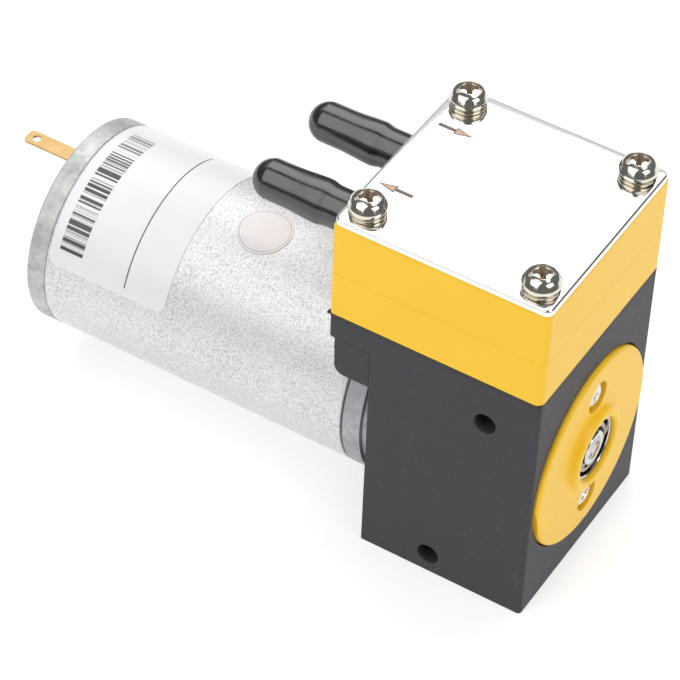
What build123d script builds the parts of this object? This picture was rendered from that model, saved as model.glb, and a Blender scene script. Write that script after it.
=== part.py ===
from build123d import *
import math
import os

# Small diaphragm vacuum pump: a plastic crank housing, a two part head and a brushed motor.
# The origin is the centre of the housing's flat base. +Z is up, +Y runs along the shaft
# to the motor, X is across, and every length is in millimetres.

# Clearances
running_clearance = 0.03  # a shaft that turns in a bore, on the radius
slip_clearance = 0.05  # a piece that drops into or over another, on the radius
free_clearance = 0.3  # pieces that pass each other without touching

# Crank housing
head_width = 40.0
head_depth = 40.0
rear_overhang = 8.0
shaft_height = 24.6
flange_cover = 5.75  # plastic between the motor's arc and the head
flange_thickness = 4.8
housing_corner_radius = 0.7
saddle_gap = 1.0
saddle_drop = 8.2
saddle_inset = 0.3
saddle_corner_radius = 2.0
saddle_clearance = 0.4
chamber_ratio = 0.4125
side_hole_radius = 2.0
side_hole_depth = 8.0
upper_hole_drop = 8.7
upper_hole_setback = 9.8
lower_hole_height = 4.1
lower_hole_setback = 18.6
neck_flare_radius = 13.5
neck_flare_depth = 3.6
cover_post_radius = 3.4
cover_post_gap = 0.8
pry_slot_width = 2.4
pry_slot_depth = 1.0

# Front bearing cover
cover_side_margin = 1.5
cover_seat_clearance = 0.1
cover_seat_depth = 2.2
cover_proud = 0.8
cover_spigot_length = 1.3
cover_boss_radius = 8.0
cover_boss_height = 2.4
cover_boss_fillet = 0.9
cover_edge_fillet = 0.4
cover_lip_radius = 6.0
cover_lip_thickness = 1.2
cover_pocket_radius = 3.0
cover_pocket_depth = 2.6
cover_screw_radius = 1.5
cover_screw_head_radius = 2.6
cover_screw_head_height = 1.7
cover_screw_shift = 1.25

# Front ball bearing
bearing_outer_radius = 6.5
bearing_bore_radius = 2.0
bearing_width = 5.0
bearing_ring_wall = 1.2
ball_radius = 1.15
ball_count = 7
cage_wall = 0.7
cage_width = 2.8
bearing_chamfer = 0.3

# Crank, rod and counterweight
shaft_radius = 2.0
throw_ratio = 0.05
journal_ratio = 0.125
rod_bearing_ratio = 0.2375
rod_eye_ratio = 0.3
rod_bearing_width = 5.0
rod_bearing_ring_ratio = 0.311
rod_seal_thickness = 0.4
rod_seal_setback = 0.2
rod_thickness = 6.0
rod_shank_width = 9.0
rod_shank_waist = 7.0
rod_shank_flare = 1.5
rod_plate_radius = 8.0
rod_plate_thickness = 2.0
eccentric_shoulder_step = 1.2
eccentric_shoulder_length = 3.4
counterweight_clearance = 3.0
counterweight_thickness = 4.5
counterweight_hub_radius = 5.6
counterweight_sleeve_radius = 3.1
counterweight_gap = 0.3
set_screw_radius = 1.25
set_screw_length = 2.8

# Diaphragm and its clamp
diaphragm_edge_thickness = 0.5
diaphragm_centre_thickness = 1.2
diaphragm_bead_radius = 15.0
diaphragm_bead_width = 1.4
diaphragm_bead_depth = 0.7
diaphragm_fold_inner = 9.3
diaphragm_fold_rise = 0.7
pressure_disc_radius = 9.0
pressure_disc_thickness = 1.6
pressure_disc_fillet = 0.5
clamp_screw_radius = 1.5
clamp_screw_head_radius = 3.0
clamp_screw_length = 7.5
dish_radius = 14.0
dish_headroom = 0.45

# Valve plate, valves and head cover
valve_plate_thickness = 9.3
head_cover_thickness = 10.6
head_corner_radius = 0.6
port_spacing = 17.4
port_height = 2.5
port_bore_radius = 1.4
valve_pocket_margin = 0.95
valve_disc_clearance = 0.7
valve_disc_thickness = 0.8
valve_lift = 0.5
valve_floor_gap = 0.3
valve_port_ratio = 0.578
valve_port_radius = 0.7
valve_port_count = 6
plenum_radius = 3.0
plenum_height = 4.2
seal_ring_margin = 1.9
seal_ring_width = 1.3
seal_ring_height = 1.1
barb_length = 14.0
barb_root_radius = 2.15
barb_tip_radius = 2.5
barb_ridge_length = 3.0
barb_ridge_count = 3

# Steel top plate and its screws
top_plate_setback = 0.05
top_plate_thickness = 1.5
top_plate_corner_radius = 1.0
top_plate_edge_fillet = 0.5
head_screw_inset = 4.0
head_screw_radius = 1.75
head_screw_head_radius = 3.3
head_screw_head_height = 2.8
head_screw_depth = 9.0
spring_washer_radius = 3.2
spring_washer_thickness = 0.8
spring_washer_gap = 0.6

# Port caps
cap_start_gap = 0.3
cap_length = 21.9
cap_bore_radius = 2.65
cap_bore_length = 14.6
cap_neck_radius = 3.65
cap_neck_length = 6.2
cap_crest_radius = 4.0
cap_crest_length = 2.5
cap_taper_length = 3.6
cap_bulb_radius = 3.65

# Motor
motor_radius = 19.25
can_wall = 1.2
can_length = 61.5
bracket_thickness = 5.2
bracket_wall = 2.6
bracket_groove = 0.4
bracket_boss_radius = 6.5
bracket_boss_length = 3.3
bracket_spigot_length = 2.5
spigot_wall = 1.5
rear_cap_lip = 0.1
rear_cap_thickness = 3.8
rear_cap_wall = 1.8
rear_cap_spigot_length = 2.5
rear_boss_radius = 5.5
rear_boss_height = 1.6
rear_boss_wall = 1.0
bush_outer_radius = 4.0
bush_length = 5.0
thrust_washer_radius = 3.6
thrust_washer_thickness = 0.6
motor_screw_inset = 4.0
motor_screw_radius = 1.5
motor_screw_head_radius = 2.7
motor_screw_head_height = 1.8
motor_screw_head_gap = 2.2
motor_screw_grip = 3.0
magnet_ratio = 0.239
magnet_overhang = 4.0
magnet_angle = 140.0
armature_air_gap = 0.7
armature_end_room = 31.5
armature_hub_ratio = 0.394
armature_tooth_ratio = 0.315
armature_shoe_ratio = 0.142
armature_slot_opening = 1.8
armature_slots = 5
end_turn_length = 4.5
winding_gap = 0.3
commutator_radius = 4.5
commutator_length = 7.0
commutator_slot_width = 0.4
commutator_slot_depth = 0.8
brush_width = 3.0
brush_length = 4.0
brush_height = 4.0
brush_gap = 0.1
brush_arm_thickness = 0.5
brush_plate_thickness = 2.0
brush_plate_hole_radius = 5.4
terminal_inset = 6.05
terminal_width = 3.2
terminal_thickness = 0.5
terminal_length = 13.0
terminal_hole_radius = 0.8
terminal_hole_setback = 2.0
terminal_block_width = 6.0
terminal_block_height = 3.0
terminal_block_proud = 1.2
label_thickness = 0.1
label_film_gap = 0.02
label_rear_gap = 1.1
label_length = 23.8
label_first_angle = 73.0
label_span_angle = 165.0
label_corner_radius = 2.0
sticker_radius = 5.0
sticker_label_gap = 10.7
sticker_angle = 8.5

# Sizes and places that follow from the sizes above
base_depth = head_depth - rear_overhang
front_y = -base_depth / 2
block_rear_y = base_depth / 2
head_y = front_y + head_depth / 2
head_rear_y = front_y + head_depth
head_screw_x = head_width / 2 - head_screw_inset
head_screw_y = head_depth / 2 - head_screw_inset
saddle_depth = rear_overhang - saddle_gap
housing_height = shaft_height + motor_radius + saddle_clearance + flange_cover
flange_z = housing_height - flange_thickness
chamber_radius = head_width * chamber_ratio
chamber_rear_y = head_y + rod_thickness / 2 + motor_screw_head_height + motor_screw_head_gap
rear_wall = block_rear_y - chamber_rear_y
crank_throw = head_width * throw_ratio
rod_bearing_outer_radius = head_width * rod_bearing_ratio
rod_bearing_bore_radius = head_width * journal_ratio
rod_bearing_ring_wall = (rod_bearing_outer_radius - rod_bearing_bore_radius) * rod_bearing_ring_ratio
eccentric_shoulder_radius = rod_bearing_bore_radius + eccentric_shoulder_step
counterweight_radius = chamber_radius - counterweight_clearance
cover_disc_radius = head_width / 2 - cover_side_margin
cover_screw_circle = (cover_boss_radius + cover_disc_radius) / 2 - cover_screw_shift
cover_seat_radius = cover_disc_radius + cover_seat_clearance
cover_seat_y = front_y + cover_seat_depth
cover_front_y = front_y - cover_proud
cover_back_y = cover_seat_y + cover_spigot_length
boss_front_y = cover_front_y - cover_boss_height
bearing_front_y = boss_front_y + cover_lip_thickness
bearing_back_y = bearing_front_y + bearing_width
ball_circle_radius = (bearing_outer_radius + bearing_bore_radius) / 2
bearing_mid_y = (bearing_front_y + bearing_back_y) / 2
pocket_floor_y = cover_front_y + cover_pocket_depth
eccentric_z = shaft_height + crank_throw
rod_eye_radius = head_width * rod_eye_ratio
rod_front_y = head_y - rod_thickness / 2
rod_bearing_front_y = head_y - rod_bearing_width / 2
rod_bearing_rear_y = head_y + rod_bearing_width / 2
shoulder_rear_y = rod_bearing_front_y
shoulder_front_y = shoulder_rear_y - eccentric_shoulder_length
counterweight_rear_y = shoulder_front_y - counterweight_gap
counterweight_front_y = counterweight_rear_y - counterweight_thickness
cover_post_rear_y = counterweight_front_y - cover_post_gap
diaphragm_mid_z = housing_height + diaphragm_edge_thickness / 2
diaphragm_top_z = housing_height + diaphragm_edge_thickness
clamp_low_z = diaphragm_mid_z - diaphragm_centre_thickness / 2
clamp_high_z = diaphragm_mid_z + diaphragm_centre_thickness / 2
disc_top_z = clamp_high_z + pressure_disc_thickness
dish_z = disc_top_z + dish_headroom
rod_plate_z = clamp_low_z - rod_plate_thickness
neck_side = crank_throw + pressure_disc_radius + free_clearance + 0.2
neck_half_depth = pressure_disc_radius + free_clearance
cover_z = diaphragm_top_z + valve_plate_thickness
top_plate_z = cover_z + head_cover_thickness
washer_z = top_plate_z + top_plate_thickness
screw_head_z = washer_z + spring_washer_thickness
port_z = cover_z + port_height
port_x = port_spacing / 2
seal_ring_radius = port_x - seal_ring_margin
valve_pocket_radius = seal_ring_radius - seal_ring_width / 2 - valve_pocket_margin
valve_disc_radius = valve_pocket_radius - valve_disc_clearance
valve_port_circle = valve_disc_radius * valve_port_ratio
cap_start_y = head_rear_y + cap_start_gap
bracket_y = block_rear_y
bracket_rear_y = bracket_y + bracket_thickness
can_y = bracket_rear_y + bracket_groove
can_rear_y = can_y + can_length
can_inner_radius = motor_radius - can_wall
spigot_radius = can_inner_radius - slip_clearance
spigot_bore_radius = spigot_radius - spigot_wall
rear_cap_radius = motor_radius + rear_cap_lip
motor_screw_circle = chamber_radius - motor_screw_inset
terminal_radius = motor_radius - terminal_inset
rear_cap_rear_y = can_rear_y + rear_cap_thickness
rear_boss_rear_y = rear_cap_rear_y + rear_boss_height
front_bush_y = bracket_y - bracket_boss_length + 0.3
front_bush_rear_y = front_bush_y + bush_length
rear_bush_rear_y = rear_boss_rear_y - rear_boss_wall
rear_bush_y = rear_bush_rear_y - bush_length
shaft_front_y = bearing_front_y - 0.3
shaft_rear_y = rear_bush_rear_y - 0.3
brush_plate_y = rear_bush_y - brush_plate_thickness - 0.2
commutator_rear_y = brush_plate_y - 0.6
commutator_y = commutator_rear_y - commutator_length
armature_rear_y = commutator_y - end_turn_length - 1.0
armature_length = can_length - armature_end_room
armature_y = armature_rear_y - armature_length
magnet_length = armature_length + 2 * magnet_overhang
magnet_outer_radius = can_inner_radius - slip_clearance
magnet_thickness = motor_radius * magnet_ratio
magnet_inner_radius = magnet_outer_radius - magnet_thickness
armature_radius = magnet_inner_radius - armature_air_gap
armature_hub_radius = armature_radius * armature_hub_ratio
armature_tooth_width = armature_radius * armature_tooth_ratio
armature_shoe_thickness = armature_radius * armature_shoe_ratio
label_inner_radius = motor_radius + label_film_gap
label_start = can_length - label_rear_gap - label_length
sticker_place = label_start - sticker_label_gap
head_centre = (0, head_y)

# The section plane holds the shaft line: its X runs along the shaft and its Y is the radius.
shaft_axis = Axis((0, 0, shaft_height), (0, 1, 0))
shaft_section = Plane(origin=(0, 0, shaft_height), x_dir=(0, 1, 0), z_dir=(1, 0, 0))
eccentric_axis = Axis((0, 0, eccentric_z), (0, 1, 0))
eccentric_section = Plane(origin=(0, 0, eccentric_z), x_dir=(0, 1, 0), z_dir=(1, 0, 0))
side_section = Plane(origin=(0, 0, 0), x_dir=(0, 1, 0), z_dir=(1, 0, 0))


def facing_front(place, height=shaft_height):
    """A plane across the shaft that looks to the front, with X across and Y up."""
    return Plane(origin=(0, place, height), x_dir=(1, 0, 0), z_dir=(0, -1, 0))


def turned(start, end, inner, outer, mode=Mode.ADD, section=shaft_section, axis=shaft_axis):
    """Add or cut a ring about the shaft line, or about the line of another section."""
    with BuildSketch(section) as profile:
        with Locations(((start + end) / 2, (inner + outer) / 2)):
            Rectangle(end - start, outer - inner)
    revolve(profile.sketch, axis=axis, mode=mode)


def crank_turned(start, end, inner, outer):
    """Add a ring about the crank's own line, which circles the shaft line."""
    turned(start, end, inner, outer, section=eccentric_section, axis=eccentric_axis)


def bored(places, radius, low, high, mode=Mode.SUBTRACT):
    """Cut or add upright round holes or posts at places in plan, between two heights."""
    with BuildSketch(Plane.XY.offset(low)) as holes:
        with Locations(*places):
            Circle(radius)
    extrude(holes.sketch, amount=high - low, mode=mode)


def head_screw_places():
    """The four corners of the head's screw square, in plan."""
    across = (-head_screw_x, head_screw_x)
    along = (head_y - head_screw_y, head_y + head_screw_y)
    return [(x, y) for x in across for y in along]


def head_block(low, high, corner):
    """Add the head's square outline between two heights."""
    with BuildSketch(Plane.XY.offset(low)) as outline:
        with Locations(head_centre):
            RectangleRounded(head_width, head_depth, corner)
    extrude(outline.sketch, amount=high - low)


def make_crank_housing():
    """Housing: L-shaped block with a round chamber, a neck to the diaphragm and a saddle."""
    side = head_width / 2
    with BuildPart() as crank_housing:
        with BuildSketch(side_section) as outline:
            with BuildLine():
                Polyline(
                    (front_y, 0),
                    (block_rear_y, 0),
                    (block_rear_y, flange_z),
                    (head_rear_y, flange_z),
                    (head_rear_y, housing_height),
                    (front_y, housing_height),
                    close=True,
                )
            make_face()
        extrude(outline.sketch, amount=side, both=True)
        upright = crank_housing.edges().filter_by(Axis.Z)
        fillet(upright.group_by(Axis.Y)[0] + upright.group_by(Axis.Y)[-1], housing_corner_radius)
        with BuildSketch(side_section) as saddle:
            with Locations((block_rear_y - 1 + (saddle_depth + 1) / 2, flange_z - saddle_drop / 2)):
                Rectangle(saddle_depth + 1, saddle_drop)
            # Inside a sketch on this plane, X runs along the shaft and Y is the height.
            rear_low = saddle.vertices().group_by(Axis.X)[-1].sort_by(Axis.Y)[0]
            fillet(rear_low, saddle_corner_radius)
        extrude(saddle.sketch, amount=side - saddle_inset, both=True)
        turned(block_rear_y, head_rear_y, 0, motor_radius + saddle_clearance, mode=Mode.SUBTRACT)
        turned(front_y, chamber_rear_y, 0, chamber_radius, mode=Mode.SUBTRACT)
        turned(front_y, cover_seat_y, 0, cover_seat_radius, mode=Mode.SUBTRACT)
        turned(chamber_rear_y, block_rear_y, 0, bracket_boss_radius + slip_clearance, mode=Mode.SUBTRACT)
        # The neck lets the rod and the clamp disc swing and dip, and flares out under the rubber.
        neck_low = shaft_height + math.sqrt(chamber_radius**2 - neck_side**2) - 0.5
        with BuildSketch(Plane.XY.offset(neck_low)) as neck:
            with Locations(head_centre):
                SlotCenterToCenter(2 * (neck_side - neck_half_depth), 2 * neck_half_depth)
        extrude(neck.sketch, amount=housing_height - neck_low, mode=Mode.SUBTRACT)
        with Locations((0, head_y, housing_height - neck_flare_depth / 2)):
            Cone(neck_half_depth, neck_flare_radius, neck_flare_depth, mode=Mode.SUBTRACT)
        # Posts for the two cover screws grow from the chamber wall.
        for turn in (1, -1):
            post_z = shaft_height + turn * cover_screw_circle
            reach = chamber_radius + 0.5 - cover_screw_circle
            with BuildSketch(facing_front(cover_back_y, post_z)) as post:
                Circle(cover_post_radius)
                with Locations((0, turn * reach / 2)):
                    Rectangle(2 * cover_post_radius, reach)
                Circle(cover_screw_radius + slip_clearance, mode=Mode.SUBTRACT)
            extrude(post.sketch, amount=cover_back_y - cover_post_rear_y)
        # Groove for the rubber's bead, then the screw holes.
        groove = diaphragm_bead_width / 2 + slip_clearance
        with BuildSketch(Plane.XY.offset(housing_height)) as bead_groove:
            with Locations(head_centre):
                Circle(diaphragm_bead_radius + groove)
                Circle(diaphragm_bead_radius - groove, mode=Mode.SUBTRACT)
        extrude(bead_groove.sketch, amount=-(diaphragm_bead_depth + slip_clearance), mode=Mode.SUBTRACT)
        screw_low = housing_height - head_screw_depth
        bored(head_screw_places(), head_screw_radius + slip_clearance, screw_low, housing_height)
        screw_side = motor_screw_circle
        with BuildSketch(facing_front(chamber_rear_y)) as screw_holes:
            with Locations((-screw_side, 0), (screw_side, 0)):
                Circle(motor_screw_radius + slip_clearance)
        extrude(screw_holes.sketch, amount=-rear_wall, mode=Mode.SUBTRACT)
        # Two blind fixing holes in each side, and the slot that levers the cover out.
        hole_places = [
            (front_y + upper_hole_setback, housing_height - upper_hole_drop),
            (front_y + lower_hole_setback, lower_hole_height),
        ]
        for turn in (1, -1):
            with BuildSketch(side_section.offset(turn * side)) as side_holes:
                with Locations(*hole_places):
                    Circle(side_hole_radius)
            extrude(side_holes.sketch, amount=-turn * side_hole_depth, mode=Mode.SUBTRACT)
        with Locations((-cover_seat_radius, front_y + pry_slot_depth / 2, shaft_height)):
            Box(pry_slot_width, pry_slot_depth, pry_slot_width, mode=Mode.SUBTRACT)
    crank_housing.part.label = "crank_housing"
    export_step(crank_housing.part, "parts/crank_housing.step")


def make_bearing_cover():
    """Front cover: a disc with a spigot, a raised bearing boss and two screw pockets."""
    with BuildPart() as bearing_cover:
        turned(cover_front_y, cover_seat_y, 0, cover_disc_radius)
        turned(cover_seat_y, cover_back_y, 0, chamber_radius - slip_clearance)
        turned(boss_front_y, cover_front_y, 0, cover_boss_radius)
        rims = bearing_cover.edges().filter_by(GeomType.CIRCLE)
        root = rims.filter_by_position(Axis.Y, cover_front_y - 0.01, cover_front_y + 0.01)
        fillet(root.sort_by(SortBy.LENGTH)[0], cover_boss_fillet)
        rims = bearing_cover.edges().filter_by(GeomType.CIRCLE)
        front = rims.filter_by_position(Axis.Y, boss_front_y - 0.01, boss_front_y + 0.01)
        fillet(front.sort_by(SortBy.LENGTH)[-1], cover_boss_fillet)
        rims = bearing_cover.edges().filter_by(GeomType.CIRCLE)
        edge = rims.filter_by_position(Axis.Y, cover_front_y - 0.01, cover_front_y + 0.01)
        fillet(edge.sort_by(SortBy.LENGTH)[-1], cover_edge_fillet)
        turned(boss_front_y, bearing_front_y, 0, cover_lip_radius, mode=Mode.SUBTRACT)
        turned(bearing_front_y, cover_back_y, 0, bearing_outer_radius + slip_clearance, mode=Mode.SUBTRACT)
        places = [(0, cover_screw_circle), (0, -cover_screw_circle)]
        with BuildSketch(facing_front(cover_front_y)) as pockets:
            with Locations(*places):
                Circle(cover_pocket_radius)
        extrude(pockets.sketch, amount=-cover_pocket_depth, mode=Mode.SUBTRACT)
        with BuildSketch(facing_front(cover_front_y)) as holes:
            with Locations(*places):
                Circle(cover_screw_radius + slip_clearance)
        extrude(holes.sketch, amount=cover_front_y - cover_back_y, mode=Mode.SUBTRACT)
    bearing_cover.part.label = "bearing_cover"
    export_step(bearing_cover.part, "parts/bearing_cover.step")


def cross_screws(places, seat, shank, head, head_height, length, height=shaft_height):
    """Add pan head screws that point to the motor, heads in front of their seat."""
    with BuildSketch(facing_front(seat, height)) as heads:
        with Locations(*places):
            Circle(head)
    extrude(heads.sketch, amount=head_height)
    with BuildSketch(facing_front(seat, height)) as shanks:
        with Locations(*places):
            Circle(shank)
    extrude(shanks.sketch, amount=-length)


def make_cover_screws():
    """Two screws that hold the bearing cover."""
    with BuildPart() as cover_screws:
        cross_screws(
            [(0, cover_screw_circle), (0, -cover_screw_circle)],
            pocket_floor_y,
            cover_screw_radius,
            cover_screw_head_radius,
            cover_screw_head_height,
            cover_post_rear_y - pocket_floor_y - free_clearance,
        )
        rims = cover_screws.edges().filter_by(GeomType.CIRCLE)
        fillet(rims.group_by(Axis.Y)[0], cover_screw_head_height / 3)
    cover_screws.part.label = "cover_screws"
    export_step(cover_screws.part, "parts/cover_screws.step")


def bearing_ring(inner, outer):
    """Add one ring of the front bearing, with the groove that the balls run in."""
    with BuildSketch(shaft_section) as profile:
        with Locations((bearing_mid_y, (inner + outer) / 2)):
            Rectangle(bearing_width, outer - inner)
        chamfer(profile.vertices(), bearing_chamfer / 2)
        with Locations((bearing_mid_y, ball_circle_radius)):
            Circle(ball_radius + running_clearance, mode=Mode.SUBTRACT)
    revolve(profile.sketch, axis=shaft_axis)


def make_front_bearing():
    """Open ball bearing: outer ring, inner ring, and a cage that carries the balls."""
    with BuildPart() as bearing_outer_ring:
        bearing_ring(bearing_outer_radius - bearing_ring_wall, bearing_outer_radius)
    bearing_outer_ring.part.label = "bearing_outer_ring"
    export_step(bearing_outer_ring.part, "parts/bearing_outer_ring.step")
    with BuildPart() as bearing_inner_ring:
        inner = shaft_radius + slip_clearance / 2
        bearing_ring(inner, bearing_bore_radius + bearing_ring_wall)
    bearing_inner_ring.part.label = "bearing_inner_ring"
    export_step(bearing_inner_ring.part, "parts/bearing_inner_ring.step")
    with BuildPart() as bearing_balls:
        with Locations(facing_front(bearing_mid_y)):
            with PolarLocations(ball_circle_radius, ball_count, start_angle=90):
                Sphere(ball_radius)
    bearing_balls.part.label = "bearing_balls"
    export_step(bearing_balls.part, "parts/bearing_balls.step")
    with BuildPart() as bearing_cage:
        start = bearing_mid_y - cage_width / 2
        inner = ball_circle_radius - cage_wall / 2
        turned(start, start + cage_width, inner, inner + cage_wall)
        with BuildSketch(Plane.XY.offset(shaft_height)) as pocket:
            with Locations((0, bearing_mid_y)):
                Circle(ball_radius + slip_clearance)
        window = extrude(pocket.sketch, amount=ball_circle_radius + cage_wall, mode=Mode.PRIVATE)
        for number in range(ball_count):
            add(window.rotate(shaft_axis, number * 360 / ball_count), mode=Mode.SUBTRACT)
    bearing_cage.part.label = "bearing_cage"
    export_step(bearing_cage.part, "parts/bearing_cage.step")


def make_shaft():
    """Motor shaft, from the front bearing through the crank and the armature."""
    with BuildPart() as motor_shaft:
        turned(shaft_front_y, shaft_rear_y, 0, shaft_radius)
        chamfer(motor_shaft.edges().filter_by(GeomType.CIRCLE), 0.3)
    motor_shaft.part.label = "motor_shaft"
    export_step(motor_shaft.part, "parts/motor_shaft.step")


def make_crank():
    """Eccentric that carries the rod, the counterweight opposite it, and their set screws."""
    bore = shaft_radius + slip_clearance / 2
    screw_hole = set_screw_radius + slip_clearance
    eccentric_screw_y = (shoulder_front_y + shoulder_rear_y) / 2
    weight_screw_y = (counterweight_front_y + counterweight_rear_y) / 2
    with BuildPart() as eccentric:
        journal = rod_bearing_bore_radius - slip_clearance / 2
        crank_turned(shoulder_front_y, shoulder_rear_y, 0, eccentric_shoulder_radius)
        crank_turned(shoulder_rear_y, rod_bearing_rear_y, 0, journal)
        turned(shoulder_front_y, rod_bearing_rear_y, 0, bore, mode=Mode.SUBTRACT)
        top = eccentric_z + eccentric_shoulder_radius
        bored([(0, eccentric_screw_y)], screw_hole, shaft_height, top)
    eccentric.part.label = "eccentric"
    export_step(eccentric.part, "parts/eccentric.step")
    with BuildPart() as counterweight:
        with BuildSketch(facing_front(counterweight_front_y)) as half_disc:
            Circle(counterweight_radius)
            with Locations((0, counterweight_radius)):
                Rectangle(3 * counterweight_radius, 2 * counterweight_radius, mode=Mode.SUBTRACT)
            Circle(counterweight_hub_radius)
        extrude(half_disc.sketch, amount=-counterweight_thickness)
        turned(bearing_back_y, counterweight_front_y, 0, counterweight_sleeve_radius)
        turned(bearing_back_y, counterweight_rear_y, 0, bore, mode=Mode.SUBTRACT)
        bored([(0, weight_screw_y)], screw_hole, shaft_height, shaft_height + counterweight_hub_radius)
    counterweight.part.label = "counterweight"
    export_step(counterweight.part, "parts/counterweight.step")
    with BuildPart() as set_screws:
        low = shaft_height + shaft_radius + 0.02
        for place in (eccentric_screw_y, weight_screw_y):
            bored([(0, place)], set_screw_radius, low, low + set_screw_length, mode=Mode.ADD)
    set_screws.part.label = "set_screws"
    export_step(set_screws.part, "parts/set_screws.step")


def make_rod():
    """Connecting rod: an eye round its bearing, a waisted shank and a round clamp plate."""
    shank_half = rod_shank_width / 2
    foot_half = shank_half + rod_shank_flare
    with BuildPart() as connecting_rod:
        with BuildSketch(facing_front(rod_front_y, eccentric_z)) as outline:
            Circle(rod_eye_radius)
            low = rod_bearing_outer_radius
            high = rod_plate_z - eccentric_z
            middle = (rod_eye_radius + high) / 2
            with BuildLine():
                Spline(
                    (-foot_half, low),
                    (-rod_shank_waist / 2, middle),
                    (-shank_half, high),
                    tangents=((0.6, 1), (-0.4, 1)),
                )
                Line((-shank_half, high), (shank_half, high))
                Spline(
                    (shank_half, high),
                    (rod_shank_waist / 2, middle),
                    (foot_half, low),
                    tangents=((-0.4, -1), (0.6, -1)),
                )
                Line((foot_half, low), (-foot_half, low))
            make_face()
            Circle(rod_bearing_outer_radius + slip_clearance / 2, mode=Mode.SUBTRACT)
        extrude(outline.sketch, amount=-rod_thickness)
        bored([head_centre], rod_plate_radius, rod_plate_z, clamp_low_z, mode=Mode.ADD)
        hole_low = disc_top_z - clamp_screw_length - 0.5
        bored([head_centre], clamp_screw_radius + slip_clearance, hole_low, clamp_low_z)
    connecting_rod.part.label = "connecting_rod"
    export_step(connecting_rod.part, "parts/connecting_rod.step")
    outer_inner = rod_bearing_outer_radius - rod_bearing_ring_wall
    inner_outer = rod_bearing_bore_radius + rod_bearing_ring_wall
    with BuildPart() as rod_bearing_outer_ring:
        crank_turned(rod_bearing_front_y, rod_bearing_rear_y, outer_inner, rod_bearing_outer_radius)
    rod_bearing_outer_ring.part.label = "rod_bearing_outer_ring"
    export_step(rod_bearing_outer_ring.part, "parts/rod_bearing_outer_ring.step")
    with BuildPart() as rod_bearing_inner_ring:
        crank_turned(rod_bearing_front_y, rod_bearing_rear_y, rod_bearing_bore_radius, inner_outer)
    rod_bearing_inner_ring.part.label = "rod_bearing_inner_ring"
    export_step(rod_bearing_inner_ring.part, "parts/rod_bearing_inner_ring.step")
    seal_inner = inner_outer + running_clearance
    seal_outer = outer_inner - slip_clearance / 2
    front_seal_y = rod_bearing_front_y + rod_seal_setback
    rear_seal_y = rod_bearing_rear_y - rod_seal_setback - rod_seal_thickness
    with BuildPart() as rod_bearing_seals:
        for start in (front_seal_y, rear_seal_y):
            crank_turned(start, start + rod_seal_thickness, seal_inner, seal_outer)
    rod_bearing_seals.part.label = "rod_bearing_seals"
    export_step(rod_bearing_seals.part, "parts/rod_bearing_seals.step")


def make_diaphragm():
    """Rubber diaphragm: a clamped square edge, a bead, a folded web and a thick centre."""
    with BuildPart() as diaphragm:
        head_block(housing_height, diaphragm_top_z, head_corner_radius)
        bored([head_centre], neck_flare_radius, housing_height, diaphragm_top_z)
        centre_section = Plane(origin=(0, head_y, diaphragm_mid_z), x_dir=(1, 0, 0), z_dir=(0, -1, 0))
        thin = diaphragm_edge_thickness / 2
        thick = diaphragm_centre_thickness / 2
        rim = neck_flare_radius + 0.2
        inner = diaphragm_fold_inner
        fold = (inner + rim) / 2
        hole = clamp_screw_radius + 0.1
        with BuildSketch(centre_section) as web:
            with BuildLine():
                ThreePointArc((inner, -thick), (fold, diaphragm_fold_rise - thin), (rim, -thin))
                Line((rim, -thin), (rim, thin))
                ThreePointArc((rim, thin), (fold, diaphragm_fold_rise + thin), (inner, thick))
                Polyline((inner, thick), (hole, thick), (hole, -thick), (inner, -thick))
            make_face()
        upright_axis = Axis((0, head_y, 0), (0, 0, 1))
        revolve(web.sketch, axis=upright_axis)
        bead_low = housing_height - diaphragm_bead_depth
        with BuildSketch(Plane.XY.offset(bead_low)) as bead:
            with Locations(head_centre):
                Circle(diaphragm_bead_radius + diaphragm_bead_width / 2)
                Circle(diaphragm_bead_radius - diaphragm_bead_width / 2, mode=Mode.SUBTRACT)
        extrude(bead.sketch, amount=diaphragm_bead_depth)
        bored(head_screw_places(), head_screw_radius + 2 * slip_clearance, housing_height, diaphragm_top_z)
    diaphragm.part.label = "diaphragm"
    export_step(diaphragm.part, "parts/diaphragm.step")


def make_diaphragm_clamp():
    """Disc and countersunk screw that clamp the rubber's centre to the rod."""
    with BuildPart() as pressure_disc:
        bored([head_centre], pressure_disc_radius, clamp_high_z, disc_top_z, mode=Mode.ADD)
        rim = pressure_disc.edges().group_by(Axis.Z)[0]
        fillet(rim, pressure_disc_fillet)
        bored([head_centre], clamp_screw_radius + slip_clearance, clamp_high_z, disc_top_z)
        with Locations((0, head_y, disc_top_z - pressure_disc_thickness * 0.45)):
            Cone(
                clamp_screw_radius + slip_clearance,
                clamp_screw_head_radius + slip_clearance,
                pressure_disc_thickness * 0.9,
                mode=Mode.SUBTRACT,
            )
    pressure_disc.part.label = "pressure_disc"
    export_step(pressure_disc.part, "parts/pressure_disc.step")
    with BuildPart() as clamp_screw:
        low = disc_top_z - clamp_screw_length
        bored([head_centre], clamp_screw_radius, low, disc_top_z, mode=Mode.ADD)
        with Locations((0, head_y, disc_top_z - pressure_disc_thickness * 0.45)):
            Cone(clamp_screw_radius, clamp_screw_head_radius, pressure_disc_thickness * 0.9)
    clamp_screw.part.label = "clamp_screw"
    export_step(clamp_screw.part, "parts/clamp_screw.step")


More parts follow.
